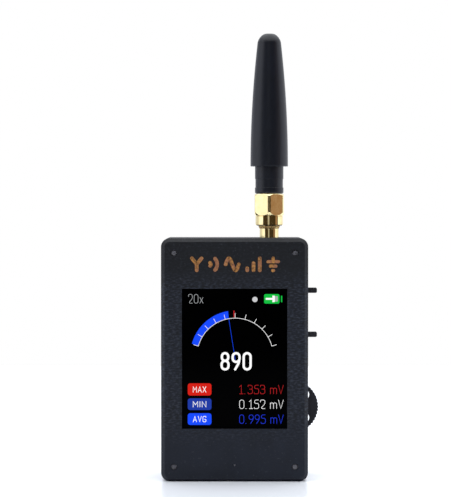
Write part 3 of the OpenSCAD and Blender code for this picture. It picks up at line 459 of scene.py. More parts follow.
def box_ring(box, wall, y0, y1):
    """An upright rectangular frame with a thin wall, between two depths."""
    x0, z0, x1, z1 = box
    bm = bmesh.new()
    loops = []
    for inset, y in ((0, y0), (0, y1), (wall, y1), (wall, y0)):
        left, right, low, high = x0 + inset, x1 - inset, z0 + inset, z1 - inset
        corners = [(left, low), (right, low), (right, high), (left, high)]
        loops.append([bm.verts.new(Vector((x, y, z)) * MM) for x, z in corners])
    for a, b in zip(loops, loops[1:] + loops[:1]):
        for i in range(4):
            j = (i + 1) % 4
            bm.faces.new([a[i], a[j], b[j], b[i]])
    bmesh.ops.recalc_face_normals(bm, faces=bm.faces)
    return mesh_of(bm, "box_ring")


def pinhole_light():
    """The tip of the status light's guide, just inside its hole in the face."""
    x = sum(span("status_led", X)) / 2
    z = sum(span("status_led", Z)) / 2
    tip_r, depth, length = 0.22, 0.12, 1.2
    edge_w, edge_h = 0.08, 0.04
    profile = [(0, -length), (tip_r, -length), (tip_r, -edge_h), (tip_r - edge_w, 0), (0, 0)]
    place = Matrix.Translation(Vector((x, FACE_Y + depth, z)) * MM)
    turn = place @ Matrix.Rotation(math.radians(90), 4, "X")
    return smoothed(mesh_of(lathe(profile, 24, turn), "pinhole_light"), 40)


piece("front_shell_print", rounded("front_shell", SHELL_ROUNDING, seam=SEAM_Y), "case_plastic", "case",
      ["front_shell"])
piece("rear_shell_print", rounded("rear_shell", SHELL_ROUNDING, seam=SEAM_Y), "case_plastic", "case",
      ["rear_shell"])
piece("power_lever_moulding", rounded("power_switch_lever", LEVER_ROUNDING), "black_plastic",
      "power_lever", ["power_switch_lever"])
piece("gain_lever_moulding", rounded("gain_switch_lever", LEVER_ROUNDING), "black_plastic",
      "gain_lever", ["gain_switch_lever"])
piece("thumbwheel_moulding", rounded("thumbwheel", WHEEL_ROUNDING, weld=WELD), "wheel_plastic", "wheel",
      ["thumbwheel"])
# Painted shade: a near-black sheet on the window's walls stands in for the shade inside the recess.
piece("window_lining", box_ring(WINDOW, SHADE_LINING_WALL, FACE_Y + SHADE_LINING_INSET, GLASS_Y), "foam", "case",
      material=moulded("black_lining", tone(1, 1, 2), tone(4, 4, 5), rough=(0.85, 0.95),
                       specular_ior_level=0.05))
piece("status_light_tip", pinhole_light(), "light_resin", "case",
      material=moulded("smoky_resin", tone(96, 96, 104), tone(116, 116, 124), rough=(0.3, 0.4)))

# Antenna

FOOT_ROUNDING, JACK_ROUNDING = 0.1, 0.08
THREAD_LAP = 0.02


def sleeve_mesh():
    """The rubber sleeve: a skirt that tapers to a rounded, slightly dimpled top, hollow for the foot and
    the coil."""
    bottom, top = span("antenna_sleeve", Z)
    low_x, high_x = span("antenna_sleeve", X)
    skirt_r, shoulder_r, edge = (high_x - low_x) / 2, 3.25, 0.12
    crown, crown_r, crown_power = top - 2.6, 1.1, 1.25
    dimple = [(0.9, 0.03), (0.65, 0.12), (0.35, 0.2), (0, 0.22)]
    coil_r, coil_top = 2.7, top - 3.9
    stem_r, stem_top = 3.25, bottom + 9.95
    seat_r, seat_top = 3.975, bottom + 3.9
    taper_steps, crown_steps = 60, 24
    profile = [(0, coil_top), (coil_r, coil_top), (coil_r, stem_top), (stem_r, stem_top),
               (stem_r, seat_top), (seat_r, seat_top), (seat_r, bottom + edge), (seat_r + edge, bottom)]
    profile += [(skirt_r - edge + x, bottom + edge + z) for x, z in ring_arc(0, 0, edge, -90, 0, 6)]
    for i in range(1, taper_steps + 1):
        t = i / taper_steps
        profile.append((skirt_r - (skirt_r - shoulder_r) * t * t, bottom + (crown - bottom) * t))
    for i in range(1, crown_steps + 1):
        a = math.radians(90 * i / crown_steps)
        profile.append((crown_r + (shoulder_r - crown_r) * math.cos(a) ** crown_power,
                        crown + (top - crown) * math.sin(a) ** crown_power))
    profile += [(radius, top - depth) for radius, depth in dimple]
    return smoothed(mesh_of(lathe(profile, 128, ON_ANTENNA), "sleeve"), 40)


def nut_mesh():
    """The coupling nut: a round skirt under a hexagon whose ends are turned to cones, bored for its
    thread."""
    flats, sharpness, turn_deg = 8.0, 28, -1.5
    cone_r, low_slope, high_slope = 4.1, 0.48, 0.85
    least, ease, margin = 0.1, 0.12, 0.1
    mouth_r, thread_r, shank_r = 3.275, 3.225, 2.6
    mouth_top, thread_bottom, shoulder = NUT_BOTTOM + 1.85, NUT_BOTTOM + 1.95, NUT_TOP - 2.2
    skirt_r, chamfer, groove = 3.825, 0.25, 0.12
    hex_bottom = NUT_TOP - NUT_HEX_H
    body = hexagon(flats, sharpness)
    profile = [(shank_r, NUT_TOP), (shank_r, shoulder), (thread_r, shoulder), (thread_r, thread_bottom),
               (mouth_r, mouth_top), (mouth_r, NUT_BOTTOM), (skirt_r - chamfer, NUT_BOTTOM),
               (skirt_r, NUT_BOTTOM + chamfer), (skirt_r, hex_bottom - 2 * groove),
               (skirt_r - groove, hex_bottom - groove), (skirt_r - groove, hex_bottom)]

    def turned(angle):
        """How much the cones take off the hexagon at an angle, hardly any at the middle of a flat."""
        excess = body(angle) - cone_r
        return (excess + math.hypot(excess, least)) / 2

    def ring(base, slope, across, up, past):
        """A ring near one end of the hexagon: shares of the cone's reach and height there, and a step
        past it."""
        return (lambda angle: body(angle) - (1 - across) * turned(angle),
                lambda angle: base + up * turned(angle) / slope + past)

    rings = [(0, 0, 0), (0.5, 0.5, 0), (1 - ease, 1 - ease, 0), (1 - ease / 4, 1, 0), (1, 1 + ease, 0),
             (1, 1 + ease, margin)]
    profile += [ring(hex_bottom, low_slope, across, up, past) for across, up, past in rings]
    profile += [ring(NUT_TOP, -high_slope, across, up, -past) for across, up, past in reversed(rings)]
    turn = ON_ANTENNA @ Matrix.Rotation(math.radians(turn_deg), 4, "Z")
    return smoothed(mesh_of(lathe(profile, 240, turn), "nut"), 28)


def collar_mesh():
    """The collar under the nut, where the jack's thread runs out: a ring that narrows downwards."""
    gap, height, bore_r, collar_r, foot_r, edge = 0.05, 0.8, 2.5, 2.98, 2.72, 0.08
    top = NUT_BOTTOM - gap
    bottom = top - height
    profile = [(bore_r, bottom), (foot_r - edge, bottom), (foot_r, bottom + edge),
               (collar_r, top - edge), (collar_r - edge, top), (bore_r, top)]
    return smoothed(mesh_of(lathe(profile, 128, ON_ANTENNA), "collar"), 50)


piece("antenna_sleeve_rubber", sleeve_mesh(), "antenna_rubber", "antenna", ["antenna_sleeve"])
piece("antenna_foot_rubber", rounded("antenna_base", FOOT_ROUNDING), "antenna_rubber", "antenna",
      ["antenna_base"])
piece("coupling_nut_gold", nut_mesh(), "gold_plate", "nut", ["coupling_nut"],
      material=metal("milled_gold", *GOLD, **GOLD_TURNING, milled=NUT_TOP - NUT_HEX_H))
jack_blank = rounded("sma_jack", JACK_ROUNDING, cut_above=THREAD_Z - THREAD_LAP, weld=WELD)
piece("antenna_jack_gold", jack_blank, "gold_plate", "case", ["sma_jack"])
piece("antenna_jack_collar", collar_mesh(), "gold_plate", "case",
      material=metal("satin_gold", tone(244, 212, 150), tone(252, 228, 170), rough=(0.7, 0.8)))

# Display picture


def prism(bm, outline, y, thickness):
    """A flat plate with this outline of (x, z) points, standing out towards the front."""
    area = sum(a[0] * b[1] - b[0] * a[1] for a, b in zip(outline, outline[1:] + outline[:1]))
    if area < 0:
        outline = outline[::-1]
    front = [bm.verts.new(Vector((x, y - thickness, z)) * MM) for x, z in outline]
    back = [bm.verts.new(Vector((x, y, z)) * MM) for x, z in outline]
    bm.faces.new(front)
    bm.faces.new(back[::-1])
    for i in range(len(front)):
        j = (i + 1) % len(front)
        bm.faces.new([front[j], front[i], back[i], back[j]])


def round_box(x0, z0, x1, z1, radius):
    """Outline of a rectangle with rounded corners."""
    steps = 6
    corners = [(x1 - radius, z1 - radius, 0), (x0 + radius, z1 - radius, 90),
               (x0 + radius, z0 + radius, 180), (x1 - radius, z0 + radius, 270)]
    return [p for x, z, a in corners for p in ring_arc(x, z, radius, a, a + 90, steps)]


def eased(points, radius, closed=False):
    """The path with its corners rounded."""
    if not radius:
        return points
    steps, most = 5, 0.499  # points on a corner, and the share of a side that it may take
    count = len(points)
    path = []
    for i, point in enumerate(points):
        here = Vector(point)
        if not closed and i in (0, count - 1):
            path.append(point)
            continue
        back = Vector(points[i - 1]) - here
        on = Vector(points[(i + 1) % count]) - here
        reach = min(radius, back.length * most, on.length * most)
        start, end = back.normalized() * reach, on.normalized() * reach
        half_angle = back.angle(on) / 2
        sine, cosine = math.sin(half_angle), math.cos(half_angle)
        for k in range(steps + 1):
            t = k / steps
            chord = start.lerp(end, t)
            bulge = 4 * t * (1 - t) * reach * sine * (1 - sine) / cosine
            path.append(tuple(here + chord - (start + end).normalized() * bulge))
    return path


def stroke(bm, points, width, y, thickness, closed=False):
    """A flat line of this width along the points, with round ends unless it is closed."""
    same_point, sharpest = 1e-4, 0.5
    half = width / 2
    path = [Vector(p) for p in points]
    path = [p for i, p in enumerate(path) if i == 0 or (p - path[i - 1]).length > same_point]
    stations = []
    count = len(path)
    for i, here in enumerate(path):
        back = path[i - 1] if i or closed else None
        on = path[(i + 1) % count] if i < count - 1 or closed else None
        first = (here - back).normalized() if back is not None else (on - here).normalized()
        second = (on - here).normalized() if on is not None else first
        middle = (first + second).normalized()
        side = Vector((-middle.y, middle.x))
        stretch = 1 / max(sharpest, middle.dot(second))
        stations.append((here, side, half * stretch))
    if not closed:
        caps = [math.radians(a) for a in (72, 54, 36, 18)]
        start_way = (path[1] - path[0]).normalized()
        end_way = (path[-1] - path[-2]).normalized()
        start_side, end_side = stations[0][1], stations[-1][1]
        starts = [(path[0] - start_way * half * math.sin(a), start_side, half * math.cos(a))
                  for a in caps]
        ends = [(path[-1] + end_way * half * math.sin(a), end_side, half * math.cos(a))
                for a in caps[::-1]]
        stations = starts + stations + ends
    loops = []
    for here, side, reach in stations:
        left, right = here + side * reach, here - side * reach
        corners = ((left, y - thickness), (right, y - thickness), (right, y), (left, y))
        loops.append([bm.verts.new(Vector((x, depth, z)) * MM) for (x, z), depth in corners])
    pairs = list(zip(loops, loops[1:])) + ([(loops[-1], loops[0])] if closed else [])
    for a, b in pairs:
        for i in range(4):
            bm.faces.new([a[i], a[(i + 1) % 4], b[(i + 1) % 4], b[i]])
    if not closed:
        bm.faces.new(loops[0][::-1])
        bm.faces.new(loops[-1])


# Characters on a cell one high: each is its width and its strokes, as (points, corner radius, closed)
CHARACTERS = {
    "0": (0.5, [([(0, 0), (0.5, 0), (0.5, 1), (0, 1)], 0.24, True)]),
    "1": (0.36, [([(0, 0.8), (0.2, 1), (0.2, 0)], 0, False), ([(0, 0), (0.4, 0)], 0, False)]),
    "2": (0.5, [([(0, 0.74), (0, 1), (0.5, 1), (0.5, 0.55), (0, 0), (0.5, 0)], 0.2, False)]),
    "3": (0.5, [([(0, 0.82), (0, 1), (0.48, 1), (0.48, 0.54), (0.16, 0.54)], 0.22, False),
                ([(0.18, 0.54), (0.5, 0.54), (0.5, 0), (0, 0), (0, 0.18)], 0.22, False)]),
    "5": (0.5, [([(0.47, 1), (0.04, 1), (0.02, 0.58), (0.5, 0.62), (0.5, 0), (0, 0), (0, 0.15)], 0.2,
                 False)]),
    "8": (0.5, [([(0, 0), (0.5, 0), (0.5, 0.53), (0, 0.53)], 0.22, True),
                ([(0.02, 0.53), (0.48, 0.53), (0.48, 1), (0.02, 1)], 0.2, True)]),
    "9": (0.5, [([(0, 0.46), (0.5, 0.46), (0.5, 1), (0, 1)], 0.24, True),
                ([(0.5, 0.7), (0.45, 0.4), (0.18, 0)], 0.1, False)]),
    ".": (0.2, [([(0, 0), (0.06, 0)], 0, False)]),
    "x": (0.42, [([(0, 0), (0.42, 0.66)], 0, False), ([(0, 0.66), (0.42, 0)], 0, False)]),
    "m": (0.7, [([(0, 0), (0, 0.66)], 0, False),
                ([(0, 0.4), (0, 0.66), (0.35, 0.66), (0.35, 0)], 0.16, False),
                ([(0.35, 0.4), (0.35, 0.66), (0.7, 0.66), (0.7, 0)], 0.16, False)]),
    "V": (0.56, [([(0, 1), (0.28, 0), (0.56, 1)], 0, False)]),
    "M": (0.62, [([(0, 0), (0, 1), (0.31, 0.4), (0.62, 1), (0.62, 0)], 0, False)]),
    "A": (0.6, [([(0, 0), (0.3, 1), (0.6, 0)], 0, False), ([(0.12, 0.32), (0.48, 0.32)], 0, False)]),
    "X": (0.56, [([(0, 0), (0.56, 1)], 0, False), ([(0, 1), (0.56, 0)], 0, False)]),
    "I": (0.04, [([(0.02, 0), (0.02, 1)], 0, False)]),
    "N": (0.52, [([(0, 0), (0, 1), (0.52, 0), (0.52, 1)], 0, False)]),
    "G": (0.54, [([(0.52, 0.8), (0.52, 1), (0, 1), (0, 0), (0.54, 0), (0.54, 0.46), (0.3, 0.46)], 0.2,
                  False)]),
    " ": (0.22, []),
}


def write(bm, words, box, width, gap, y, thickness):
    """Writes characters into a box of (x0, z0, x1, z1); the height and the full length fit it."""
    x0, z0, x1, z1 = box
    height = z1 - z0 - width
    length = sum(CHARACTERS[c][0] for c in words) + gap * (len(words) - 1)
    scale_x = (x1 - x0 - width) / length
    x = x0 + width / 2
    for c in words:
        wide, strokes = CHARACTERS[c]
        for points, radius, closed in strokes:
            path = eased([(px * scale_x, pz * height) for px, pz in points], radius * height, closed)
            stroke(bm, [(x + px, z0 + width / 2 + pz) for px, pz in path], width, y, thickness, closed)
        x += (wide + gap) * scale_x


WHITE = lit_pixels("white_pixels", tone(255, 255, 255), 1.05)
PALE = lit_pixels("pale_pixels", tone(205, 206, 208))
GREY = lit_pixels("grey_pixels", tone(176, 178, 180))
RED = lit_pixels("red_pixels", tone(214, 26, 12))
DIM_RED = lit_pixels("dim_red_pixels", tone(186, 30, 34))
BLUE = lit_pixels("blue_pixels", tone(16, 74, 255))
DEEP_BLUE = lit_pixels("deep_blue_pixels", tone(26, 56, 164))
TEXT_BLUE = lit_pixels("text_blue_pixels", tone(34, 60, 226))
GREEN = lit_pixels("green_pixels", tone(12, 192, 64))

# Layers of the picture, and its places in millimetres: x from the middle, z from the base
LAYER, LIFT = 0.012, 0.004
PICTURE_Y = GLASS_Y - LIFT
RAISED_Y = PICTURE_Y - LAYER
GAUGE, GAUGE_R = (0.15, 34.03), 10.38
GAUGE_START, GAUGE_END, GAUGE_PEN = 15.5, 164.5, 0.12
POINTER_FOOT, POINTER_TOP, POINTER_PEN = (0.19, 33.01), (-1.58, 44.26), 0.1
BAND_MIDDLE, BAND_INNER, BAND_OUTER = (GAUGE[0] + 0.14, GAUGE[1] + 0.12), GAUGE_R + 0.1, GAUGE_R + 1.97
TAG_X, TAG_CORNER = (-12.76, -6.29), 0.7
LABEL_X, LABEL_Z, LABEL_PEN = (-11.36, -7.7), (-0.84, 0.84), 0.17
VALUE_X, VALUE_Z, VALUE_PEN = (1.3, 13.36), (-1.26, 1.22), 0.125


def picture(name, material, *drawings):
    """One colour of the display's picture, from drawings that each fill the mesh."""
    bm = bmesh.new()
    for draw, *values in drawings:
        draw(bm, *values)
    bmesh.ops.recalc_face_normals(bm, faces=bm.faces)
    return piece("display_" + name, mesh_of(bm, name), "display_glass", "case", material=material)


pointer_angle = math.degrees(math.atan2(POINTER_TOP[1] - GAUGE[1], POINTER_TOP[0] - GAUGE[0]))
band = (ring_arc(*GAUGE, BAND_INNER, pointer_angle, GAUGE_END, 40)
        + ring_arc(*BAND_MIDDLE, BAND_OUTER, GAUGE_END, pointer_angle, 40))
picture("gauge_band", BLUE, (prism, band, PICTURE_Y, LAYER),
        (stroke, [POINTER_FOOT, POINTER_TOP], POINTER_PEN, PICTURE_Y, LAYER))
picture("gauge_line", WHITE,
        (stroke, ring_arc(*GAUGE, GAUGE_R, GAUGE_START, GAUGE_END, 72), GAUGE_PEN, RAISED_Y, LAYER))
picture("peak_mark", DIM_RED,
        (prism, [(-0.27, 44.61), (0.02, 44.61), (-0.02, 46.45), (-0.31, 46.45)], RAISED_Y, LAYER))
picture("reading", WHITE, (write, "890", (-3.84, 30.12, 4.68, 35.17), 0.63, 0.3, RAISED_Y, LAYER))
picture("zoom_factor", GREY, (write, "20x", (-12.6, 48.42, -8.5, 50.95), 0.11, 0.22, PICTURE_Y, LAYER))
picture("status_dot", PALE, (prism, ring_arc(5.54, 49.5, 0.73, 0, 345, 23), PICTURE_Y, LAYER))
picture("battery_icon", GREEN, (prism, round_box(8.04, 48.37, 12.22, 50.96, 0.4), PICTURE_Y, LAYER),
        (prism, round_box(12.62, 48.74, 12.98, 50.52, 0.12), PICTURE_Y, LAYER))
picture("charge_plug", WHITE, (prism, round_box(8.48, 49.41, 10.38, 49.92, 0.08), RAISED_Y, LAYER),
        (prism, [(10.31, 48.75), (10.97, 48.83), (10.97, 50.49), (10.31, 50.57)], RAISED_Y, LAYER))
picture("charge_prongs", GREY, (prism, round_box(11.0, 48.93, 11.76, 50.39, 0.15), RAISED_Y, LAYER))
ROWS = [
    ("max", "MAX", "1.353 mV", 23.3, 26.62, RED, DIM_RED),
    ("min", "MIN", "0.152 mV", 19.33, 22.52, DEEP_BLUE, WHITE),
    ("mean", "AVG", "0.995 mV", 15.26, 18.46, BLUE, TEXT_BLUE),
]
for name, label, value, z0, z1, tag_colour, value_colour in ROWS:
    middle = (z0 + z1) / 2
    label_box = (LABEL_X[0], middle + LABEL_Z[0], LABEL_X[1], middle + LABEL_Z[1])
    value_box = (VALUE_X[0], middle + VALUE_Z[0], VALUE_X[1], middle + VALUE_Z[1])
    tag = round_box(TAG_X[0], z0, TAG_X[1], z1, TAG_CORNER)
    picture(name + "_tag", tag_colour, (prism, tag, PICTURE_Y, LAYER))
    picture(name + "_label", WHITE, (write, label, label_box, LABEL_PEN, 0.28, RAISED_Y, LAYER))
    picture(name + "_value", value_colour, (write, value, value_box, VALUE_PEN, 0.2, PICTURE_Y, LAYER))

# Geometry Nodes


class Tree:
    """A Geometry Nodes tree with named inputs, and short calls for its nodes."""

    def __init__(self, name, **inputs):
        self.group = bpy.data.node_groups.new(name, "GeometryNodeTree")
        self.sockets = {}
        interface = self.group.interface
        for key, (kind, _) in inputs.items():
            self.sockets[key] = interface.new_socket(key, in_out="INPUT",
                                                     socket_type="NodeSocket" + kind)
        self.values = {key: value for key, (_, value) in inputs.items()}
        interface.new_socket("Geometry", in_out="OUTPUT", socket_type="NodeSocketGeometry")
        self.given = self.group.nodes.new("NodeGroupInput").outputs
        self.out = self.group.nodes.new("NodeGroupOutput")

    def add(self, kind, inputs=None, **settings):
        return add_node(self.group, kind, inputs, settings)

    def math(self, operation, *values):
        return self.add("ShaderNodeMath", dict(enumerate(values)), operation=operation).outputs[0]

    def mesh(self, geometry, material):
        """Ends the tree in realized instances with a material, runs it and gives the plain mesh."""
        real = self.add("GeometryNodeRealizeInstances", {"Geometry": geometry}).outputs[0]
        painted = self.add("GeometryNodeSetMaterial", {"Geometry": real, "Material": material})
        self.group.links.new(painted.outputs[0], self.out.inputs[0])
        obj = bpy.data.objects.new(self.group.name, bpy.data.meshes.new(self.group.name))
        scene.collection.objects.link(obj)
        modifier = obj.modifiers.new("tree", "NODES")
        modifier.node_group = self.group
        for key, value in self.values.items():
            modifier[self.sockets[key].identifier] = value
        return settled(obj)


def gauge_ticks():
    """Short ticks outside the gauge's arc, evenly spread from end to end."""
    off_arc, count, length = 0.7, 11, 1.3
    tree = Tree("gauge_ticks", Radius=("Float", (GAUGE_R + off_arc) * MM),
                Start=("Float", math.radians(GAUGE_START)),
                Sweep=("Float", math.radians(GAUGE_END - GAUGE_START)), Count=("Int", count),
                Length=("Float", length * MM), Width=("Float", GAUGE_PEN * MM),
                Depth=("Float", LAYER * MM))
    given = tree.given
    arc = tree.add("GeometryNodeCurveArc", {
        "Resolution": 96, "Radius": given["Radius"], "Start Angle": given["Start"],
        "Sweep Angle": given["Sweep"]})
    points = tree.add("GeometryNodeCurveToPoints", {"Curve": arc.outputs["Curve"],
                                                    "Count": given["Count"]}).outputs
    size = tree.add("ShaderNodeCombineXYZ", {"X": given["Length"], "Y": given["Depth"],
                                             "Z": given["Width"]})
    tick = tree.add("GeometryNodeMeshCube", {"Size": size.outputs[0]})
    ticks = tree.add("GeometryNodeInstanceOnPoints", {"Points": points["Points"],
                                                      "Instance": tick.outputs["Mesh"],
                                                      "Rotation": points["Rotation"]})
    upright = tree.add("GeometryNodeTransform", {
        "Geometry": ticks.outputs[0], "Rotation": (math.radians(90), 0, 0),
        "Translation": (GAUGE[0] * MM, (RAISED_Y - LAYER / 2) * MM, GAUGE[1] * MM)})
    return tree.mesh(upright.outputs[0], WHITE)


piece("display_gauge_ticks", gauge_ticks(), "display_glass", "case", material=WHITE)


def jack_thread():
    """The jack's threaded barrel: a tube whose radius rises and falls along a helix, plain at both ends.
    The first two and the last two rows of its grid are the bore."""
    rows, turns_round, same_point = 120, 96, 1e-6
    outer_r, bore_r, depth, pitch = 3.165, 2.36, 0.34, 0.7055
    tree = Tree("jack_thread", Radius=("Float", outer_r * MM), Bore=("Float", bore_r * MM),
                Depth=("Float", depth * MM), Pitch=("Float", pitch * MM),
                Bottom=("Float", THREAD_Z * MM), Height=("Float", THREAD_L * MM))
    given, calc = tree.given, tree.math

    def spread(value, start, end):
        """The value from start to end, as a number from 0 to 1."""
        inputs = {"Value": value, "From Min": start, "From Max": end, "To Min": 0.0, "To Max": 1.0}
        return tree.add("ShaderNodeMapRange", inputs).outputs[0]

    grid = tree.add("GeometryNodeMeshGrid", {"Size X": 1.0, "Size Y": 1.0, "Vertices X": turns_round + 1,
                                             "Vertices Y": rows + 5})
    place = tree.add("GeometryNodeInputPosition")
    parts = tree.add("ShaderNodeSeparateXYZ", {0: place.outputs[0]}).outputs
    angle = calc("MULTIPLY", calc("ADD", parts["X"], 0.5), math.tau)
    step = calc("MULTIPLY", calc("ADD", parts["Y"], 0.5), rows + 4.0)
    along = spread(step, 2.0, rows + 2.0)
    rise = calc("MULTIPLY", along, given["Height"])
    turned = calc("SUBTRACT", calc("DIVIDE", rise, given["Pitch"]), calc("DIVIDE", angle, math.tau))
    ridge = spread(calc("PINGPONG", turned, 0.5), 0.08, 0.42)
    faded = calc("MINIMUM", spread(along, 0.03, 0.1), spread(along, 0.99, 0.9))
    cut = calc("MULTIPLY", calc("MULTIPLY", ridge, given["Depth"]), faded)
    outer = calc("SUBTRACT", given["Radius"], cut)
    inside = calc("MAXIMUM", calc("LESS_THAN", step, 1.5), calc("GREATER_THAN", step, rows + 2.5))
    radius = calc("ADD", calc("MULTIPLY", outer, calc("SUBTRACT", 1.0, inside)),
                  calc("MULTIPLY", given["Bore"], inside))
    spot = tree.add("ShaderNodeCombineXYZ", {
        "X": calc("ADD", calc("MULTIPLY", radius, calc("COSINE", angle)), ANTENNA_X * MM),
        "Y": calc("MULTIPLY", radius, calc("SINE", angle)),
        "Z": calc("ADD", rise, given["Bottom"])})
    bent = tree.add("GeometryNodeSetPosition", {"Geometry": grid.outputs["Mesh"],
                                                "Position": spot.outputs[0]})
    joined = tree.add("GeometryNodeMergeByDistance", {"Geometry": bent.outputs[0],
                                                      "Distance": same_point})
    return tree.mesh(joined.outputs[0], FINISHES["gold_plate"])


def closed_mesh(mesh):
    """The mesh with its open rims bridged and its faces turned outwards."""
    bm = bmesh.new()
    bm.from_mesh(mesh)
    rims = [e for e in bm.edges if e.is_boundary]
    if rims:
        bmesh.ops.bridge_loops(bm, edges=rims)
    bmesh.ops.recalc_face_normals(bm, faces=bm.faces)
    bm.to_mesh(mesh)
    bm.free()
    return mesh


piece("antenna_jack_thread", smoothed(closed_mesh(jack_thread()), 40), "gold_plate", "case")


SCREW_HEAD_D, SCREW_HEAD_H = 3.0, 1.3


def screw_blank():
    """One case screw along -Y, head at the rear: a threaded shank with a cut tip, and a socket in its
    rounded head. Its profile runs down from the tip."""
    shank_r, crest_r, root_r, pitch, flank = 0.8, 0.84, 0.68, 0.35, 0.17
    thread_start, thread_end = 0.4, 4.0
    socket_mouth, socket_floor, sharpness = 1.32, 1.3, 200
    head_r = SCREW_HEAD_D / 2
    front, rear = span("case_screws", Y)
    tip, head_top, seat = -front, -rear, -(rear - SCREW_HEAD_H)
    profile = [(0, tip - 0.1), (0.3, tip - 0.08), (0.5, tip - 0.02), (0.64, tip - 0.02),
               (shank_r, tip - 0.1)]
    height = tip - thread_start
    while height > tip - thread_end:
        profile += [(crest_r, height), (root_r, height - flank)]
        height -= pitch
    profile += [(shank_r, height), (shank_r, seat), (1.35, seat), (head_r, seat - 0.12),
                (head_r, head_top + 0.45), (1.42, head_top + 0.18), (1.2, head_top + 0.03),
                (0.95, head_top), (hexagon(socket_mouth, sharpness), head_top + 0.03),
                (hexagon(socket_floor, sharpness), head_top + 0.6), (0, head_top + 0.7)]
    turn = Matrix.Rotation(math.radians(90), 4, "X")
    return smoothed(mesh_of(lathe(profile, 48, turn), "screw_blank"), 35)


def case_screws():
    """Four case screws on the corners of a rectangle."""
    blank = bpy.data.objects.new("screw_blank", screw_blank())
    scene.collection.objects.link(blank)
    left, right = span("case_screws", X)
    low, high = span("case_screws", Z)
    tree = Tree("case_screws", Across=("Float", (right - left - SCREW_HEAD_D) * MM),
                Up=("Float", (high - low - SCREW_HEAD_D) * MM), Middle=("Float", (low + high) / 2 * MM))
    grid = tree.add("GeometryNodeMeshGrid", {"Size X": tree.given["Across"], "Size Y": tree.given["Up"],
                                             "Vertices X": 2, "Vertices Y": 2})
    lift = tree.add("ShaderNodeCombineXYZ", {"X": 0.0, "Y": 0.0, "Z": tree.given["Middle"]})
    stood = tree.add("GeometryNodeTransform", {
        "Geometry": grid.outputs["Mesh"], "Rotation": (math.radians(90), 0, 0),
        "Translation": lift.outputs[0]})
    screw = tree.add("GeometryNodeObjectInfo", {"Object": blank})
    corners = tree.add("GeometryNodeInstanceOnPoints", {"Points": stood.outputs[0],
                                                        "Instance": screw.outputs["Geometry"]})
    mesh = tree.mesh(corners.outputs[0], FINISHES["screw_steel"])
    bpy.data.objects.remove(blank)
    return mesh


piece("case_screws_zinc", smoothed(case_screws(), 35), "screw_steel", "case", ["case_screws"])

# Painted symbols


def symbols():
    """A row of plain radio symbols in bronze paint: aerial, waves, alternating current, level bars and
    earth. Each line is a little thicker than the one before, so that none lie in one plane."""
    low, high, pen, fine_pen = 57.02, 61.25, 0.98, 0.85
    coat, next_coat = 0.04, 0.003
    aerial_x, aerial_w, aerial_gap = -10.26, 1.31, 0.2
    waves_x, wave_reaches, wave_deg = -7.13, (0.65, 2.4), 40
    current_x, current_w, current_steps = -2.44, 3.6, 24
    bars_x, bar_pitch, first_bar = 3.43, 1.7, 0.4
    earth_x, earth_pitch, earth_halves = 10.45, 1.2, (0.1, 0.75, 1.4)
    base, top = low + pen / 2, high - pen / 2
    middle = (base + top) / 2
    bm = bmesh.new()
    coats = iter(range(20))

    def line(points, radius=0.0, width=pen):
        depth = coat + next_coat * next(coats)
        stroke(bm, eased(points, radius), width, FACE_Y, depth)

    line([(aerial_x - aerial_w, top), (aerial_x, middle), (aerial_x + aerial_w, top)], 0.2)
    line([(aerial_x, base), (aerial_x, middle - aerial_gap)])
    for reach in wave_reaches:
        line(ring_arc(waves_x, middle, reach, -wave_deg, wave_deg, 10))
    shares = [i / current_steps for i in range(current_steps + 1)]
    line([(current_x + current_w * t, middle + (top - base) / 2 * math.sin(math.tau * t))
          for t in shares])
    for i in range(3):
        x = bars_x + bar_pitch * i
        line([(x, base), (x, base + (top - base) * (i + first_bar) / (2 + first_bar))])
    earth_z = low + fine_pen / 2
    line([(earth_x, earth_z + 2 * earth_pitch), (earth_x, high - fine_pen / 2)], width=fine_pen)
    for i, half in enumerate(earth_halves):
        z = earth_z + earth_pitch * i
        line([(earth_x - half, z), (earth_x + half, z)], width=fine_pen)
    bmesh.ops.recalc_face_normals(bm, faces=bm.faces)
    return mesh_of(bm, "symbols")


piece("painted_symbols", symbols(), "case_plastic", "case", material=bronze_paint())

# Floor, light and camera


def floor():
    """A plain pale floor under the part."""
    half_size, cloud_size = 0.35, 60.0
    dark, light = (0.82, 0.85, 0.89, 1.0), (0.84, 0.87, 0.91, 1.0)
    finish = Finish("pale_floor", roughness=0.28, specular_ior_level=0.5)
    cloud = finish.noise(cloud_size, 2.0)
    finish.set(base_color=finish.ramp(cloud, (0.3, dark), (0.7, light)))
    bm = bmesh.new()
    bmesh.ops.create_grid(bm, x_segments=8, y_segments=8, size=half_size)
    obj = bpy.data.objects.new("studio_floor", mesh_of(bm, "studio_floor"))
    obj.data.materials.append(finish.material)
    scene.collection.objects.link(obj)


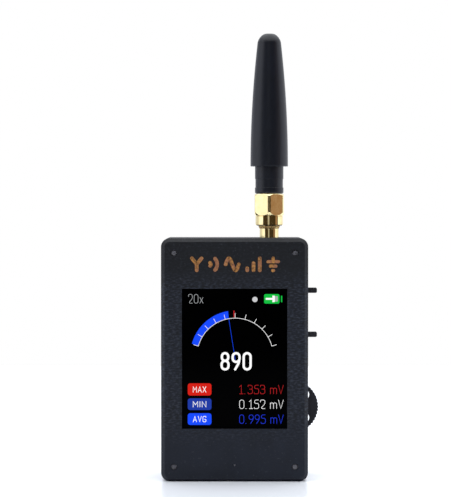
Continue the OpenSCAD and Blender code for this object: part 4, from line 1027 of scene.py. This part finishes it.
def studio_light():
    """A white studio: soft light from above and behind, a bright side on the left, a small lamp in front
    and a dark room behind the camera. Bearings are in degrees from the front, to the right."""
    white, bright, grey = (1.13, 1.15, 1.22), (1.5, 1.52, 1.64), (0.86, 0.88, 0.96)
    dark, brown = (0.06, 0.042, 0.022), (0.44, 0.27, 0.18)
    overhead_white, plain_white = (2.45, 2.5, 2.58, 1), (1, 1, 1, 1)
    overhead_from, overhead_full = 0.55, 0.8
    lamp_bearing, lamp_half, lamp_core, lamp_strength = -6.5, 8, 5, 0.56
    lamp_from, lamp_full = -0.06, -0.04
    stops = [(-180, white), (-165, white), (-148, grey), (-108, grey), (-82, bright), (-57, bright),
             (-52, dark), (52, dark), (55, brown), (67, brown), (70, dark), (74, dark), (79, bright),
             (125, white), (180, white)]
    world = bpy.data.worlds.new("studio")
    scene.world = world
    world.use_nodes = True
    light = Shading(world.node_tree)
    way = light.add("SeparateXYZ", {0: light.add("TexCoord").outputs["Generated"]}).outputs
    bearing = light.math("ARCTAN2", way["X"], light.math("MULTIPLY", way["Y"], -1.0))
    around = light.spread(bearing, 0.0, 1.0, -math.pi, math.pi)
    walls = light.ramp(around, *[((degrees + 180) / 360, (*colour, 1)) for degrees, colour in stops])
    overhead = light.spread(way["Z"], 0.0, 1.0, overhead_from, overhead_full,
                            interpolation_type="SMOOTHSTEP")
    off_lamp = light.math("ABSOLUTE", light.math("SUBTRACT", bearing, math.radians(lamp_bearing)))
    lamp_side = light.spread(off_lamp, 0.0, 1.0, math.radians(lamp_half), math.radians(lamp_core))
    lamp_low = light.spread(way["Z"], 0.0, 1.0, lamp_from, lamp_full)
    lamp = light.math("MULTIPLY", light.math("MULTIPLY", lamp_side, lamp_low), lamp_strength)
    sides = light.blend(lamp, walls, plain_white)
    room = light.blend(overhead, sides, overhead_white)
    shown = light.blend(light.add("LightPath").outputs["Is Camera Ray"], room, plain_white)
    feed(light.tree, light.tree.nodes["Background"], {"Color": shown})


def camera():
    """The photograph's camera: far in front, level with the antenna's foot and tipped down a little."""
    place, tip_down = (-2.467, -510, 75), 1.327
    data = bpy.data.cameras.new("camera")
    data.lens = 133.71
    data.sensor_width = 36
    data.clip_start = 0.01
    obj = bpy.data.objects.new("camera", data)
    obj.location = Vector(place) * MM
    obj.rotation_euler = (math.radians(90 - tip_down), 0, 0)
    scene.collection.objects.link(obj)
    scene.camera = obj


floor()
studio_light()
camera()
scene.view_settings.view_transform = "Standard"
